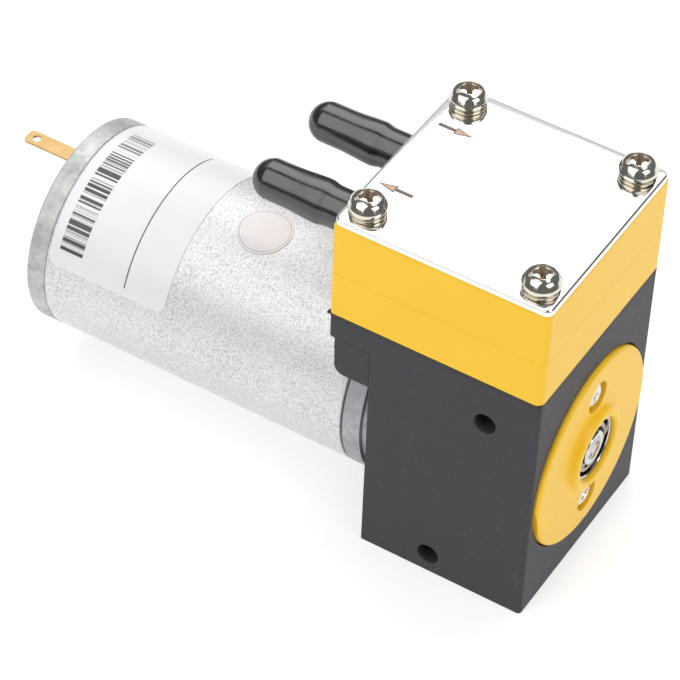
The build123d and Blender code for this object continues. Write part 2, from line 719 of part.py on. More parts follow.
def make_valve_plate():
    """Lower half of the head: a dish over the rubber, valve ports and seal ring grooves."""
    port_top = cover_z - valve_disc_thickness - valve_lift - valve_floor_gap
    with BuildPart() as valve_plate:
        head_block(diaphragm_top_z, cover_z, head_corner_radius)
        bored([head_centre], dish_radius, diaphragm_top_z, dish_z)
        bored([(port_x, head_y)], valve_pocket_radius, port_top, cover_z)
        for side in (-port_x, port_x):
            with BuildSketch(Plane.XY.offset(dish_z)) as ports:
                with Locations((side, head_y)):
                    with PolarLocations(valve_port_circle, valve_port_count):
                        Circle(valve_port_radius)
            extrude(ports.sketch, amount=valve_plate_thickness, mode=Mode.SUBTRACT)
        half_groove = seal_ring_width / 2 + slip_clearance
        with BuildSketch(Plane.XY.offset(cover_z)) as grooves:
            with Locations((-port_x, head_y), (port_x, head_y)):
                Circle(seal_ring_radius + half_groove)
                Circle(seal_ring_radius - half_groove, mode=Mode.SUBTRACT)
        extrude(grooves.sketch, amount=-seal_ring_height, mode=Mode.SUBTRACT)
        bored(head_screw_places(), head_screw_radius + slip_clearance, diaphragm_top_z, cover_z)
    valve_plate.part.label = "valve_plate"
    export_step(valve_plate.part, "parts/valve_plate.step")
    with BuildPart() as seal_rings:
        with BuildSketch(Plane.XY.offset(cover_z - seal_ring_height)) as rings:
            with Locations((-port_x, head_y), (port_x, head_y)):
                Circle(seal_ring_radius + seal_ring_width / 2)
                Circle(seal_ring_radius - seal_ring_width / 2, mode=Mode.SUBTRACT)
        extrude(rings.sketch, amount=seal_ring_height)
    seal_rings.part.label = "seal_rings"
    export_step(seal_rings.part, "parts/seal_rings.step")


def make_valves():
    """Rubber valve discs: the inlet hangs under the cover, the outlet lies on the plate."""
    with BuildPart() as inlet_valve_disc:
        low = cover_z - valve_disc_thickness
        bored([(port_x, head_y)], valve_disc_radius, low, cover_z, mode=Mode.ADD)
    inlet_valve_disc.part.label = "inlet_valve_disc"
    export_step(inlet_valve_disc.part, "parts/inlet_valve_disc.step")
    with BuildPart() as outlet_valve_disc:
        high = cover_z + valve_disc_thickness
        bored([(-port_x, head_y)], valve_disc_radius, cover_z, high, mode=Mode.ADD)
    outlet_valve_disc.part.label = "outlet_valve_disc"
    export_step(outlet_valve_disc.part, "parts/outlet_valve_disc.step")


def port_barb(side):
    """Add one hose barb: a root tube and sawtooth ridges, turned about the port line."""
    section = Plane(origin=(side, 0, port_z), x_dir=(0, 1, 0), z_dir=(1, 0, 0))
    tip = head_rear_y + barb_length
    ridge_start = tip - barb_ridge_count * barb_ridge_length
    with BuildSketch(section) as profile:
        with BuildLine():
            points = [(head_rear_y - 1, 0), (head_rear_y - 1, barb_root_radius)]
            points.append((ridge_start, barb_root_radius))
            for number in range(barb_ridge_count):
                start = ridge_start + number * barb_ridge_length
                points.append((start, barb_tip_radius))
                points.append((start + barb_ridge_length, barb_root_radius - 0.15))
            points.append((tip, 0))
            Polyline(*points, close=True)
        make_face()
    revolve(profile.sketch, axis=Axis((side, 0, port_z), (0, 1, 0)))


def make_head_cover():
    """Upper half of the head, with the two hose barbs and the passages to the valves."""
    pocket_high = cover_z + valve_disc_thickness + valve_lift
    with BuildPart() as head_cover:
        head_block(cover_z, top_plate_z, head_corner_radius)
        for side in (-port_x, port_x):
            port_barb(side)
        bored([(-port_x, head_y), (port_x, head_y)], plenum_radius, cover_z, cover_z + plenum_height)
        bored([(-port_x, head_y)], valve_pocket_radius, cover_z, pocket_high)
        with BuildSketch(facing_front(head_y, port_z)) as bores:
            with Locations((-port_x, 0), (port_x, 0)):
                Circle(port_bore_radius)
        extrude(bores.sketch, amount=head_y - head_rear_y - barb_length, mode=Mode.SUBTRACT)
        bored(head_screw_places(), head_screw_radius + slip_clearance, cover_z, top_plate_z)
    head_cover.part.label = "head_cover"
    export_step(head_cover.part, "parts/head_cover.step")


def make_top_plate():
    """Polished steel plate over the head, with a rolled upper edge."""
    with BuildPart() as top_plate:
        with BuildSketch(Plane.XY.offset(top_plate_z)) as outline:
            with Locations(head_centre):
                RectangleRounded(
                    head_width - 2 * top_plate_setback,
                    head_depth - 2 * top_plate_setback,
                    top_plate_corner_radius,
                )
        extrude(outline.sketch, amount=top_plate_thickness)
        fillet(top_plate.edges().group_by(Axis.Z)[-1], top_plate_edge_fillet)
        bored(head_screw_places(), head_screw_radius + slip_clearance, top_plate_z, washer_z)
    top_plate.part.label = "top_plate"
    export_step(top_plate.part, "parts/top_plate.step")


def make_head_screws():
    """Four pan head screws through the head, each on a split spring washer."""
    low = housing_height - head_screw_depth + 0.5
    top = screw_head_z + head_screw_head_height
    with BuildPart() as head_screws:
        bored(head_screw_places(), head_screw_radius, low, screw_head_z, mode=Mode.ADD)
        bored(head_screw_places(), head_screw_head_radius, screw_head_z, top, mode=Mode.ADD)
        fillet(head_screws.edges().group_by(Axis.Z)[-1], head_screw_head_height * 0.48)
    head_screws.part.label = "head_screws"
    export_step(head_screws.part, "parts/head_screws.step")
    with BuildPart() as spring_washers:
        with BuildSketch(Plane.XY.offset(washer_z)) as rings:
            with Locations(*head_screw_places()):
                Circle(spring_washer_radius)
                Circle(head_screw_radius + 2 * slip_clearance, mode=Mode.SUBTRACT)
            for x, y in head_screw_places():
                turn = 1 if y < head_y else -1
                with Locations((x, y - turn * spring_washer_radius / 2)):
                    Rectangle(spring_washer_gap, spring_washer_radius * 1.1, mode=Mode.SUBTRACT)
        extrude(rings.sketch, amount=spring_washer_thickness)
    spring_washers.part.label = "spring_washers"
    export_step(spring_washers.part, "parts/spring_washers.step")


def make_port_caps():
    """Soft caps pushed over the barbs: a neck, a crest over the ridges and a round ended bulb."""
    tip = cap_start_y + cap_length
    neck_end = cap_start_y + cap_neck_length
    crest = neck_end + cap_crest_length
    bulb = crest + cap_taper_length
    dome = tip - cap_bulb_radius
    for name, side in (("outlet_cap", -port_x), ("inlet_cap", port_x)):
        section = Plane(origin=(side, 0, port_z), x_dir=(0, 1, 0), z_dir=(1, 0, 0))
        with BuildPart() as port_cap:
            with BuildSketch(section) as profile:
                with BuildLine():
                    Polyline((cap_start_y, 0), (cap_start_y, cap_neck_radius), (neck_end, cap_neck_radius))
                    Spline(
                        (neck_end, cap_neck_radius),
                        (crest, cap_crest_radius),
                        (bulb, cap_bulb_radius),
                        tangents=((1, 0), (1, 0)),
                    )
                    Line((bulb, cap_bulb_radius), (dome, cap_bulb_radius))
                    RadiusArc((dome, cap_bulb_radius), (tip, 0), cap_bulb_radius)
                    Line((tip, 0), (cap_start_y, 0))
                make_face()
            revolve(profile.sketch, axis=Axis((side, 0, port_z), (0, 1, 0)))
            with BuildSketch(facing_front(cap_start_y, port_z)) as bore:
                with Locations((side, 0)):
                    Circle(cap_bore_radius)
            extrude(bore.sketch, amount=-cap_bore_length, mode=Mode.SUBTRACT)
        port_cap.part.label = name
        export_step(port_cap.part, f"parts/{name}.step")


def make_motor_bracket():
    """Zinc front bracket: a disc with a centring boss, a bush seat and a rim into the can."""
    boss_front = block_rear_y - bracket_boss_length
    spigot_rear = can_y + bracket_spigot_length
    with BuildPart() as motor_bracket:
        turned(bracket_y, bracket_rear_y, 0, motor_radius)
        turned(boss_front, bracket_y, 0, bracket_boss_radius)
        turned(bracket_rear_y, spigot_rear, 0, spigot_radius)
        turned(bracket_y + bracket_wall, spigot_rear, 0, spigot_bore_radius, mode=Mode.SUBTRACT)
        turned(boss_front, spigot_rear, 0, bush_outer_radius + slip_clearance / 2, mode=Mode.SUBTRACT)
        places = [(-motor_screw_circle, 0), (motor_screw_circle, 0)]
        with BuildSketch(facing_front(bracket_y)) as holes:
            with Locations(*places):
                Circle(motor_screw_radius + slip_clearance)
        extrude(holes.sketch, amount=-(bracket_wall + 0.5), mode=Mode.SUBTRACT)
    motor_bracket.part.label = "motor_bracket"
    export_step(motor_bracket.part, "parts/motor_bracket.step")
    with BuildPart() as motor_screws:
        cross_screws(
            places,
            chamber_rear_y,
            motor_screw_radius,
            motor_screw_head_radius,
            motor_screw_head_height,
            rear_wall + motor_screw_grip,
        )
    motor_screws.part.label = "motor_screws"
    export_step(motor_screws.part, "parts/motor_screws.step")


def make_motor_can():
    """Drawn steel can of the motor, open at both ends."""
    with BuildPart() as motor_can:
        turned(can_y, can_rear_y, can_inner_radius, motor_radius)
    motor_can.part.label = "motor_can"
    export_step(motor_can.part, "parts/motor_can.step")


def make_rear_cap():
    """Zinc rear cap with the rear bush boss and windows for the two terminals."""
    with BuildPart() as rear_cap:
        turned(can_rear_y, rear_cap_rear_y, 0, rear_cap_radius)
        turned(can_rear_y - rear_cap_spigot_length, can_rear_y, 0, spigot_radius)
        turned(rear_cap_rear_y, rear_boss_rear_y, 0, rear_boss_radius)
        rims = rear_cap.edges().filter_by(GeomType.CIRCLE)
        rear = rims.filter_by_position(Axis.Y, rear_cap_rear_y - 0.01, rear_cap_rear_y + 0.01)
        fillet(rear.sort_by(SortBy.LENGTH)[-1], 0.5)
        hollow_rear = rear_cap_rear_y - rear_cap_wall
        turned(can_rear_y - rear_cap_spigot_length, hollow_rear, 0, spigot_bore_radius, mode=Mode.SUBTRACT)
        turned(rear_bush_y, hollow_rear, bush_outer_radius, bush_outer_radius + 1.2)
        turned(rear_bush_y, rear_bush_rear_y, 0, bush_outer_radius + slip_clearance / 2, mode=Mode.SUBTRACT)
        with BuildSketch(facing_front(hollow_rear)) as windows:
            with Locations((0, -terminal_radius), (0, terminal_radius)):
                Rectangle(
                    terminal_block_width + 2 * slip_clearance,
                    terminal_block_height + 2 * slip_clearance,
                )
        extrude(windows.sketch, amount=-rear_cap_wall, mode=Mode.SUBTRACT)
    rear_cap.part.label = "rear_cap"
    export_step(rear_cap.part, "parts/rear_cap.step")


def make_bushes():
    """Sintered bushes in the bracket and the rear cap, and the washers beside them."""
    bore = shaft_radius + running_clearance
    with BuildPart() as front_bush:
        turned(front_bush_y, front_bush_rear_y, bore, bush_outer_radius)
    front_bush.part.label = "front_bush"
    export_step(front_bush.part, "parts/front_bush.step")
    with BuildPart() as rear_bush:
        turned(rear_bush_y, rear_bush_rear_y, bore, bush_outer_radius)
    rear_bush.part.label = "rear_bush"
    export_step(rear_bush.part, "parts/rear_bush.step")
    with BuildPart() as thrust_washers:
        washer_bore = shaft_radius + slip_clearance / 2
        for start in (front_bush_rear_y + 0.1, rear_bush_y - 0.1 - thrust_washer_thickness):
            turned(start, start + thrust_washer_thickness, washer_bore, thrust_washer_radius)
    thrust_washers.part.label = "thrust_washers"
    export_step(thrust_washers.part, "parts/thrust_washers.step")


def make_magnets():
    """Two arc magnets bonded inside the can."""
    middle = (armature_y + armature_rear_y) / 2
    with BuildPart() as magnets:
        for turn in (90, -90):
            with BuildSketch(shaft_section) as profile:
                with Locations((middle, (magnet_inner_radius + magnet_outer_radius) / 2)):
                    Rectangle(magnet_length, magnet_thickness)
            arc = revolve(profile.sketch, axis=shaft_axis, revolution_arc=magnet_angle, mode=Mode.PRIVATE)
            add(arc.rotate(shaft_axis, turn - magnet_angle / 2))
    magnets.part.label = "magnets"
    export_step(magnets.part, "parts/magnets.step")


def tooth_bars(width, reach, start, length, mode):
    """Add or cut the five tooth bars of the armature, from the shaft line outwards."""
    with BuildSketch(facing_front(start)) as bars:
        with PolarLocations(reach / 2, armature_slots, start_angle=90):
            Rectangle(reach, width)
    extrude(bars.sketch, amount=-length, mode=mode)


def make_armature():
    """Armature: five slot laminated core, its windings and the commutator."""
    bore = shaft_radius + slip_clearance / 2
    shoe_inner = armature_radius - armature_shoe_thickness
    with BuildPart() as armature_core:
        turned(armature_y, armature_rear_y, 0, armature_hub_radius)
        turned(armature_y, armature_rear_y, shoe_inner, armature_radius)
        tooth_bars(armature_tooth_width, shoe_inner + 0.5, armature_y, armature_length, Mode.ADD)
        with BuildSketch(facing_front(armature_y)) as slots:
            with PolarLocations(armature_radius, armature_slots, start_angle=90 + 180 / armature_slots):
                Rectangle(2 * armature_shoe_thickness + 1, armature_slot_opening)
        extrude(slots.sketch, amount=-armature_length, mode=Mode.SUBTRACT)
        turned(armature_y, armature_rear_y, 0, bore, mode=Mode.SUBTRACT)
    armature_core.part.label = "armature_core"
    export_step(armature_core.part, "parts/armature_core.step")
    with BuildPart() as windings:
        inner = armature_hub_radius + winding_gap
        outer = shoe_inner - winding_gap
        start = armature_y - end_turn_length
        turned(start, armature_rear_y + end_turn_length, inner, outer)
        tooth_bars(
            armature_tooth_width + 2 * winding_gap,
            armature_radius,
            armature_y - 0.2,
            armature_length + 0.4,
            Mode.SUBTRACT,
        )
    windings.part.label = "windings"
    export_step(windings.part, "parts/windings.step")
    with BuildPart() as commutator:
        turned(commutator_y, commutator_rear_y, bore, commutator_radius)
        with BuildSketch(facing_front(commutator_y)) as cuts:
            with PolarLocations(commutator_radius, armature_slots):
                Rectangle(2 * commutator_slot_depth, commutator_slot_width)
        extrude(cuts.sketch, amount=-commutator_length, mode=Mode.SUBTRACT)
    commutator.part.label = "commutator"
    export_step(commutator.part, "parts/commutator.step")


def make_brush_gear():
    """Brush plate with two spring arms, the carbon brushes and the solder terminals."""
    contact = commutator_radius + brush_gap
    brush_centre = contact + brush_height / 2
    arm_x = contact + brush_height + brush_arm_thickness / 2 + 0.02
    brush_y = (commutator_y + commutator_rear_y) / 2
    arm_start = brush_y - brush_length / 2
    block_rear = rear_cap_rear_y + terminal_block_proud
    tab_rear = rear_cap_rear_y + terminal_length
    brush_plate_rear = brush_plate_y + brush_plate_thickness
    with BuildPart() as brush_plate:
        outer = spigot_bore_radius - 2 * slip_clearance
        turned(brush_plate_y, brush_plate_rear, brush_plate_hole_radius, outer)
        with BuildSketch(facing_front(brush_plate_rear)) as blocks:
            with Locations((0, -terminal_radius), (0, terminal_radius)):
                Rectangle(terminal_block_width, terminal_block_height)
        extrude(blocks.sketch, amount=brush_plate_rear - block_rear)
        with BuildSketch(facing_front(brush_plate_y)) as windows:
            with Locations((0, -terminal_radius), (0, terminal_radius)):
                Rectangle(
                    terminal_width + 2 * slip_clearance,
                    terminal_thickness + 2 * slip_clearance,
                )
            with Locations((-arm_x, 0), (arm_x, 0)):
                Rectangle(brush_arm_thickness + 2 * slip_clearance, brush_width + 2 * slip_clearance)
        extrude(windows.sketch, amount=brush_plate_y - block_rear, mode=Mode.SUBTRACT)
    brush_plate.part.label = "brush_plate"
    export_step(brush_plate.part, "parts/brush_plate.step")
    with BuildPart() as brushes:
        with Locations((-brush_centre, brush_y, shaft_height), (brush_centre, brush_y, shaft_height)):
            Box(brush_height, brush_length, brush_width)
    brushes.part.label = "brushes"
    export_step(brushes.part, "parts/brushes.step")
    with BuildPart() as brush_arms:
        length = brush_plate_rear - arm_start
        middle = (brush_plate_rear + arm_start) / 2
        with Locations((-arm_x, middle, shaft_height), (arm_x, middle, shaft_height)):
            Box(brush_arm_thickness, length, brush_width)
    brush_arms.part.label = "brush_arms"
    export_step(brush_arms.part, "parts/brush_arms.step")
    with BuildPart() as terminals:
        for turn in (1, -1):
            tab_z = shaft_height + turn * terminal_radius - terminal_thickness / 2
            with BuildSketch(Plane.XY.offset(tab_z)) as tab:
                with BuildLine():
                    half = terminal_width / 2
                    Polyline(
                        (-half, brush_plate_y),
                        (half, brush_plate_y),
                        (half, tab_rear - half / 2),
                        (half / 2, tab_rear),
                        (-half / 2, tab_rear),
                        (-half, tab_rear - half / 2),
                        close=True,
                    )
                make_face()
                with Locations((0, tab_rear - terminal_hole_setback)):
                    Circle(terminal_hole_radius, mode=Mode.SUBTRACT)
            extrude(tab.sketch, amount=terminal_thickness)
    terminals.part.label = "terminals"
    export_step(terminals.part, "parts/terminals.step")


def label_corner(place, inward, angle):
    """Cut one corner of the label round, seen square on from outside the can."""
    tilt = math.degrees(math.asin(label_corner_radius / motor_radius))
    side = 1 if angle > 0 else -1
    corner_plane = Plane(origin=(0, place, shaft_height), x_dir=(1, 0, 0), z_dir=(0, 0, 1))
    with BuildSketch(corner_plane.rotated((0, -angle + side * tilt, 0))) as waste:
        with Locations((-side * label_corner_radius, 0)):
            Rectangle(2 * label_corner_radius, 2 * label_corner_radius)
        with Locations((0, inward * label_corner_radius)):
            Circle(label_corner_radius, mode=Mode.SUBTRACT)
    extrude(waste.sketch, amount=2 * motor_radius, mode=Mode.SUBTRACT)


def make_labels():
    """Thin rating label wrapped on the can, and a round inspection sticker beside it."""
    inner = label_inner_radius
    with BuildPart() as motor_label:
        start = can_y + label_start
        with BuildSketch(shaft_section) as profile:
            with Locations((start + label_length / 2, inner + label_thickness / 2)):
                Rectangle(label_length, label_thickness)
        band = revolve(profile.sketch, axis=shaft_axis, revolution_arc=label_span_angle, mode=Mode.PRIVATE)
        add(band.rotate(shaft_axis, -label_first_angle))
        for angle in (label_first_angle, label_first_angle - label_span_angle):
            label_corner(start, 1, angle)
            label_corner(start + label_length, -1, angle)
    motor_label.part.label = "motor_label"
    export_step(motor_label.part, "parts/motor_label.step")
    with BuildPart() as inspection_sticker:
        disc_plane = Plane(origin=(0, can_y + sticker_place, shaft_height)).rotated((0, -sticker_angle, 0))
        with BuildSketch(disc_plane) as disc:
            Circle(sticker_radius)
        extrude(disc.sketch, amount=motor_radius + 1)
        outer = inner + label_thickness
        turned(can_y, can_rear_y, 0, inner, mode=Mode.SUBTRACT)
        turned(can_y, can_rear_y, 0, outer, mode=Mode.INTERSECT)
    inspection_sticker.part.label = "inspection_sticker"
    export_step(inspection_sticker.part, "parts/inspection_sticker.step")


os.makedirs("parts", exist_ok=True)
make_crank_housing()
make_bearing_cover()
make_cover_screws()
make_front_bearing()
make_shaft()
make_crank()
make_rod()
make_diaphragm()
make_diaphragm_clamp()
make_valve_plate()
make_valves()
make_head_cover()
make_top_plate()
make_head_screws()
make_port_caps()
make_motor_bracket()
make_motor_can()
make_rear_cap()
make_bushes()
make_magnets()
make_armature()
make_brush_gear()
make_labels()
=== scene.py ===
"""Dressed scene of a small diaphragm vacuum pump: head, crank housing, motor and their fittings."""

import logging
import math
from dataclasses import dataclass, field
from enum import Enum
from typing import Callable, Optional, Sequence, Union

import bpy
from mathutils import Matrix, Vector

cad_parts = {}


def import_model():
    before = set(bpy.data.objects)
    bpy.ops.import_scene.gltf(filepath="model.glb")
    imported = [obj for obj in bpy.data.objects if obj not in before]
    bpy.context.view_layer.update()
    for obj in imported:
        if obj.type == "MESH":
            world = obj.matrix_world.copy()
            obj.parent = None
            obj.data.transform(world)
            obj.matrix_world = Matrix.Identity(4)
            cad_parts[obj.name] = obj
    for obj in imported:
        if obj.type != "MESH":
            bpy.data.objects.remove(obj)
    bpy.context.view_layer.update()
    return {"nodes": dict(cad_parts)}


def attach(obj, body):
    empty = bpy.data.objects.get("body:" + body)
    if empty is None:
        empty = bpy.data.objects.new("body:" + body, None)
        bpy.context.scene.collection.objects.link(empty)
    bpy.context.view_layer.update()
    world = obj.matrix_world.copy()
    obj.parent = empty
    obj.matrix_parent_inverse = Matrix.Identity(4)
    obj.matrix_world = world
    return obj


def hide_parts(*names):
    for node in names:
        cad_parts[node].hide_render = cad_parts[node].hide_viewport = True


log = logging.getLogger("vacuum_pump")

MM = 0.001
Place = Sequence[float]
Colour = tuple[float, float, float]
Signal = Union[bpy.types.NodeSocket, float, Sequence[float]]


class Joining(Enum):
    """How a second body joins the first."""

    AWAY = "DIFFERENCE"
    ON = "UNION"
    COMMON = "INTERSECT"


class Line(Enum):
    """The direction of a turning line."""

    ACROSS = (1.0, 0.0, 0.0)
    SHAFT = (0.0, 1.0, 0.0)
    UPRIGHT = (0.0, 0.0, 1.0)


class Body(Enum):
    """The moving bodies of the frame that pieces ride on."""

    FRAME = "pump_frame"
    ROTOR = "rotor"
    ROD = "rod"
    BALLS = "ball_set"
    INLET_VALVE = "inlet_valve"
    OUTLET_VALVE = "outlet_valve"
    INLET_CAP = "inlet_port_cap"
    OUTLET_CAP = "outlet_port_cap"


# Modelling tools


def mm(place: Place) -> Vector:
    """A place in millimetres as a vector in metres."""
    return Vector(place) * MM


def deselect_all() -> None:
    """Leave edit mode and clear the selection."""
    if bpy.context.object is not None and bpy.context.object.mode != "OBJECT":
        bpy.ops.object.mode_set(mode="OBJECT")
    bpy.ops.object.select_all(action="DESELECT")


def pick(piece: bpy.types.Object) -> None:
    """Select one piece alone and make it active."""
    deselect_all()
    piece.select_set(True)
    bpy.context.view_layer.objects.active = piece


def settle(name: str) -> bpy.types.Object:
    """Name the new primitive and put its place, turn and size into its mesh."""
    piece = bpy.context.active_object
    piece.name = name
    piece.data.name = name
    bpy.ops.object.transform_apply(location=True, rotation=True, scale=True)
    return piece


def block(name: str, low: Place, high: Place) -> bpy.types.Object:
    """A box between two corners, in millimetres."""
    deselect_all()
    start, end = mm(low), mm(high)
    bpy.ops.mesh.primitive_cube_add(size=1, location=(start + end) / 2, scale=end - start)
    return settle(name)


def rod(
    name: str, start: Place, end: Place, radius: float, tip: Optional[float] = None, sides: int = 64
) -> bpy.types.Object:
    """A round bar or a cone between two places.

    Args:
        name: the piece's name.
        start: the middle of the first end, in millimetres.
        end: the middle of the other end.
        radius: the radius at the start.
        tip: the radius at the end, where it differs.
        sides: facets round the bar.

    Returns:
        The new object.
    """
    deselect_all()
    first, last = mm(start), mm(end)
    bpy.ops.mesh.primitive_cone_add(
        vertices=sides,
        radius1=radius * MM,
        radius2=(radius if tip is None else tip) * MM,
        depth=(last - first).length,
        location=(first + last) / 2,
        rotation=(last - first).to_track_quat("Z", "Y").to_euler(),
    )
    return settle(name)


def eased(corners: Sequence[Place], closed: bool = False, steps: int = 4) -> list[tuple[float, float]]:
    """Round the corners of a section.

    Args:
        corners: place along, radius, and rounding of each corner, in millimetres.
        closed: whether the section runs back to its first corner.
        steps: straight pieces in each rounding.

    Returns:
        The places of the rounded section, in order.
    """
    line = []
    count = len(corners)
    for index, (along, radius, rounding) in enumerate(corners):
        if rounding <= 0 or (not closed and index in (0, count - 1)):
            line.append((along, radius))
            continue
        here = Vector((along, radius))
        back = (Vector(corners[index - 1][:2]) - here).normalized()
        ahead = (Vector(corners[(index + 1) % count][:2]) - here).normalized()
        half = back.angle(ahead) / 2
        middle = here + (back + ahead).normalized() * (rounding / math.sin(half))
        first = here + back * (rounding / math.tan(half)) - middle
        last = here + ahead * (rounding / math.tan(half)) - middle
        sweep = first.angle(last)
        for step in range(steps + 1):
            share = step / steps
            side = first * math.sin((1 - share) * sweep) + last * math.sin(share * sweep)
            line.append(tuple(middle + side / math.sin(sweep)))
    if closed:
        line.append(line[0])
    return line


def turned(
    name: str, section: Sequence[Place], centre: Place, line: Line = Line.SHAFT, steps: int = 96
) -> bpy.types.Object:
    """Turn a section about a line: extrude its points in a row, then spin them.

    Args:
        name: the piece's name.
        section: place along the line and radius of each point, in millimetres.
        centre: where the line's own zero lies.
        line: the line's direction.
        steps: facets round the line.

    Returns:
        The new object, closed, with its faces outwards.
    """
    along = Vector(line.value)
    outward = Vector((1.0, 0.0, 0.0)) if line is Line.UPRIGHT else Vector((0.0, 0.0, 1.0))
    places = [(Vector(centre) + along * a + outward * r) * MM for a, r in section]
    deselect_all()
    bpy.ops.mesh.primitive_plane_add(size=MM, location=places[0])
    piece = settle(name)
    bpy.ops.object.mode_set(mode="EDIT")
    bpy.ops.mesh.select_mode(type="VERT")
    bpy.ops.mesh.select_all(action="SELECT")
    bpy.ops.mesh.merge(type="CENTER")
    for before, after in zip(places, places[1:]):
        bpy.ops.mesh.extrude_vertices_move(TRANSFORM_OT_translate={"value": after - before})
    bpy.ops.mesh.select_all(action="SELECT")
    bpy.ops.mesh.spin(steps=steps, angle=2 * math.pi, center=mm(centre), axis=along)
    bpy.ops.mesh.select_all(action="SELECT")
    bpy.ops.mesh.remove_doubles(threshold=1e-6)
    bpy.ops.mesh.delete_loose()
    bpy.ops.mesh.select_all(action="SELECT")
    bpy.ops.mesh.normals_make_consistent(inside=False)
    bpy.ops.object.mode_set(mode="OBJECT")
    return piece


def choose(piece: bpy.types.Object, kind: str, test: Callable[[Vector, Vector], bool]) -> None:
    """Open a piece in edit mode with the edges or faces selected that pass a test.

    Args:
        piece: the piece to open.
        kind: "EDGE" or "FACE".
        test: takes the middle in millimetres, and the edge's direction or the face's normal.
    """
    pick(piece)
    bpy.ops.object.mode_set(mode="EDIT")
    bpy.ops.mesh.select_mode(type=kind)
    bpy.ops.mesh.select_all(action="DESELECT")
    bpy.ops.object.mode_set(mode="OBJECT")
    mesh = piece.data
    if kind == "FACE":
        for face in mesh.polygons:
            face.select = test(face.center / MM, face.normal)
    else:
        for edge in mesh.edges:
            first, last = (mesh.vertices[index].co for index in edge.vertices)
            edge.select = test((first + last) / 2 / MM, (last - first).normalized())
    bpy.ops.object.mode_set(mode="EDIT")


def round_edges(
    piece: bpy.types.Object, radius: float, test: Callable[[Vector, Vector], bool], steps: int = 6
) -> None:
    """Round the edges of a piece that pass a test, by a radius in millimetres."""
    choose(piece, "EDGE", test)
    bpy.ops.mesh.bevel(offset=radius * MM, segments=steps, affect="EDGES")
    bpy.ops.object.mode_set(mode="OBJECT")


def pull_faces(piece: bpy.types.Object, shift: Place, test: Callable[[Vector, Vector], bool]) -> None:
    """Extrude the faces that pass a test by a shift in millimetres."""
    choose(piece, "FACE", test)
    bpy.ops.mesh.extrude_region_move(TRANSFORM_OT_translate={"value": mm(shift)})
    bpy.ops.object.mode_set(mode="OBJECT")


def slice_at(piece: bpy.types.Object, place: Place, normal: Place) -> None:
    """Bisect all faces of a piece by a plane, and keep both sides."""
    choose(piece, "FACE", lambda middle, facing: True)
    bpy.ops.mesh.bisect(plane_co=mm(place), plane_no=normal)
    bpy.ops.object.mode_set(mode="OBJECT")


def use(piece: bpy.types.Object, kind: str, **settings: object) -> None:
    """Add a modifier with its settings and apply it."""
    pick(piece)
    bpy.ops.object.modifier_add(type=kind)
    modifier = piece.modifiers[-1]
    for name, value in settings.items():
        setattr(modifier, name, value)
    bpy.ops.object.modifier_apply(modifier=modifier.name)


def join(piece: bpy.types.Object, *others: bpy.types.Object, how: Joining = Joining.ON) -> None:
    """Join other bodies to a piece, cut them out of it or keep what they share."""
    for other in others:
        use(piece, "BOOLEAN", operation=how.value, solver="EXACT", object=other)
        bpy.data.objects.remove(other)


def cut(piece: bpy.types.Object, *tools: bpy.types.Object) -> None:
    """Cut tool bodies out of a piece."""
    join(piece, *tools, how=Joining.AWAY)


def close_gaps(piece: bpy.types.Object) -> None:
    """Merge points that cutting left a hair apart."""
    use(piece, "WELD", merge_threshold=0.006 * MM)


def smooth(piece: bpy.types.Object, angle: float = 32.0) -> None:
    """Shade a piece smooth up to an angle, with flat faces kept flat."""
    pick(piece)
    bpy.ops.object.shade_smooth_by_angle(angle=math.radians(angle))
    use(piece, "WEIGHTED_NORMAL", keep_sharp=True)


def soften(
    piece: bpy.types.Object, width: float, steps: int = 3, angle: float = 32.0, clamp: bool = True
) -> None:
    """Round every sharp edge of a piece a little, then shade it smooth."""
    use(
        piece,
        "BEVEL",
        width=width * MM,
        segments=steps,
        limit_method="ANGLE",
        angle_limit=math.radians(angle),
        miter_outer="MITER_ARC",
        use_clamp_overlap=clamp,
    )
    smooth(piece, angle)


def repeat(piece: bpy.types.Object, name: str, shift: Place, turn: float = 0.0) -> bpy.types.Object:
    """Copy a piece with its own mesh, turned about an upright line and shifted.

    Args:
        piece: the piece to copy, modelled about the frame's origin.
        name: the copy's name.
        shift: where it goes, in millimetres.
        turn: degrees about the upright line.

    Returns:
        The copy, with its place in its mesh.
    """
    pick(piece)
    bpy.ops.object.duplicate()
    bpy.context.active_object.rotation_euler = (0.0, 0.0, math.radians(turn))
    bpy.context.active_object.location = mm(shift)
    return settle(name)


def merge_pieces(pieces: Sequence[bpy.types.Object], name: str) -> bpy.types.Object:
    """Make one object of several, as loose parts of one mesh."""
    pick(pieces[0])
    for other in pieces[1:]:
        other.select_set(True)
    bpy.ops.object.join()
    pieces[0].name = name
    pieces[0].data.name = name
    return pieces[0]


# Finishes


def paint(red: float, green: float, blue: float) -> tuple[float, float, float, float]:
    """A colour seen on screen, 0 to 255, as the shader's own values."""
    shares = (channel / 255 for channel in (red, green, blue))
    return (*(c / 12.92 if c <= 0.04045 else ((c + 0.055) / 1.055) ** 2.4 for c in shares), 1.0)


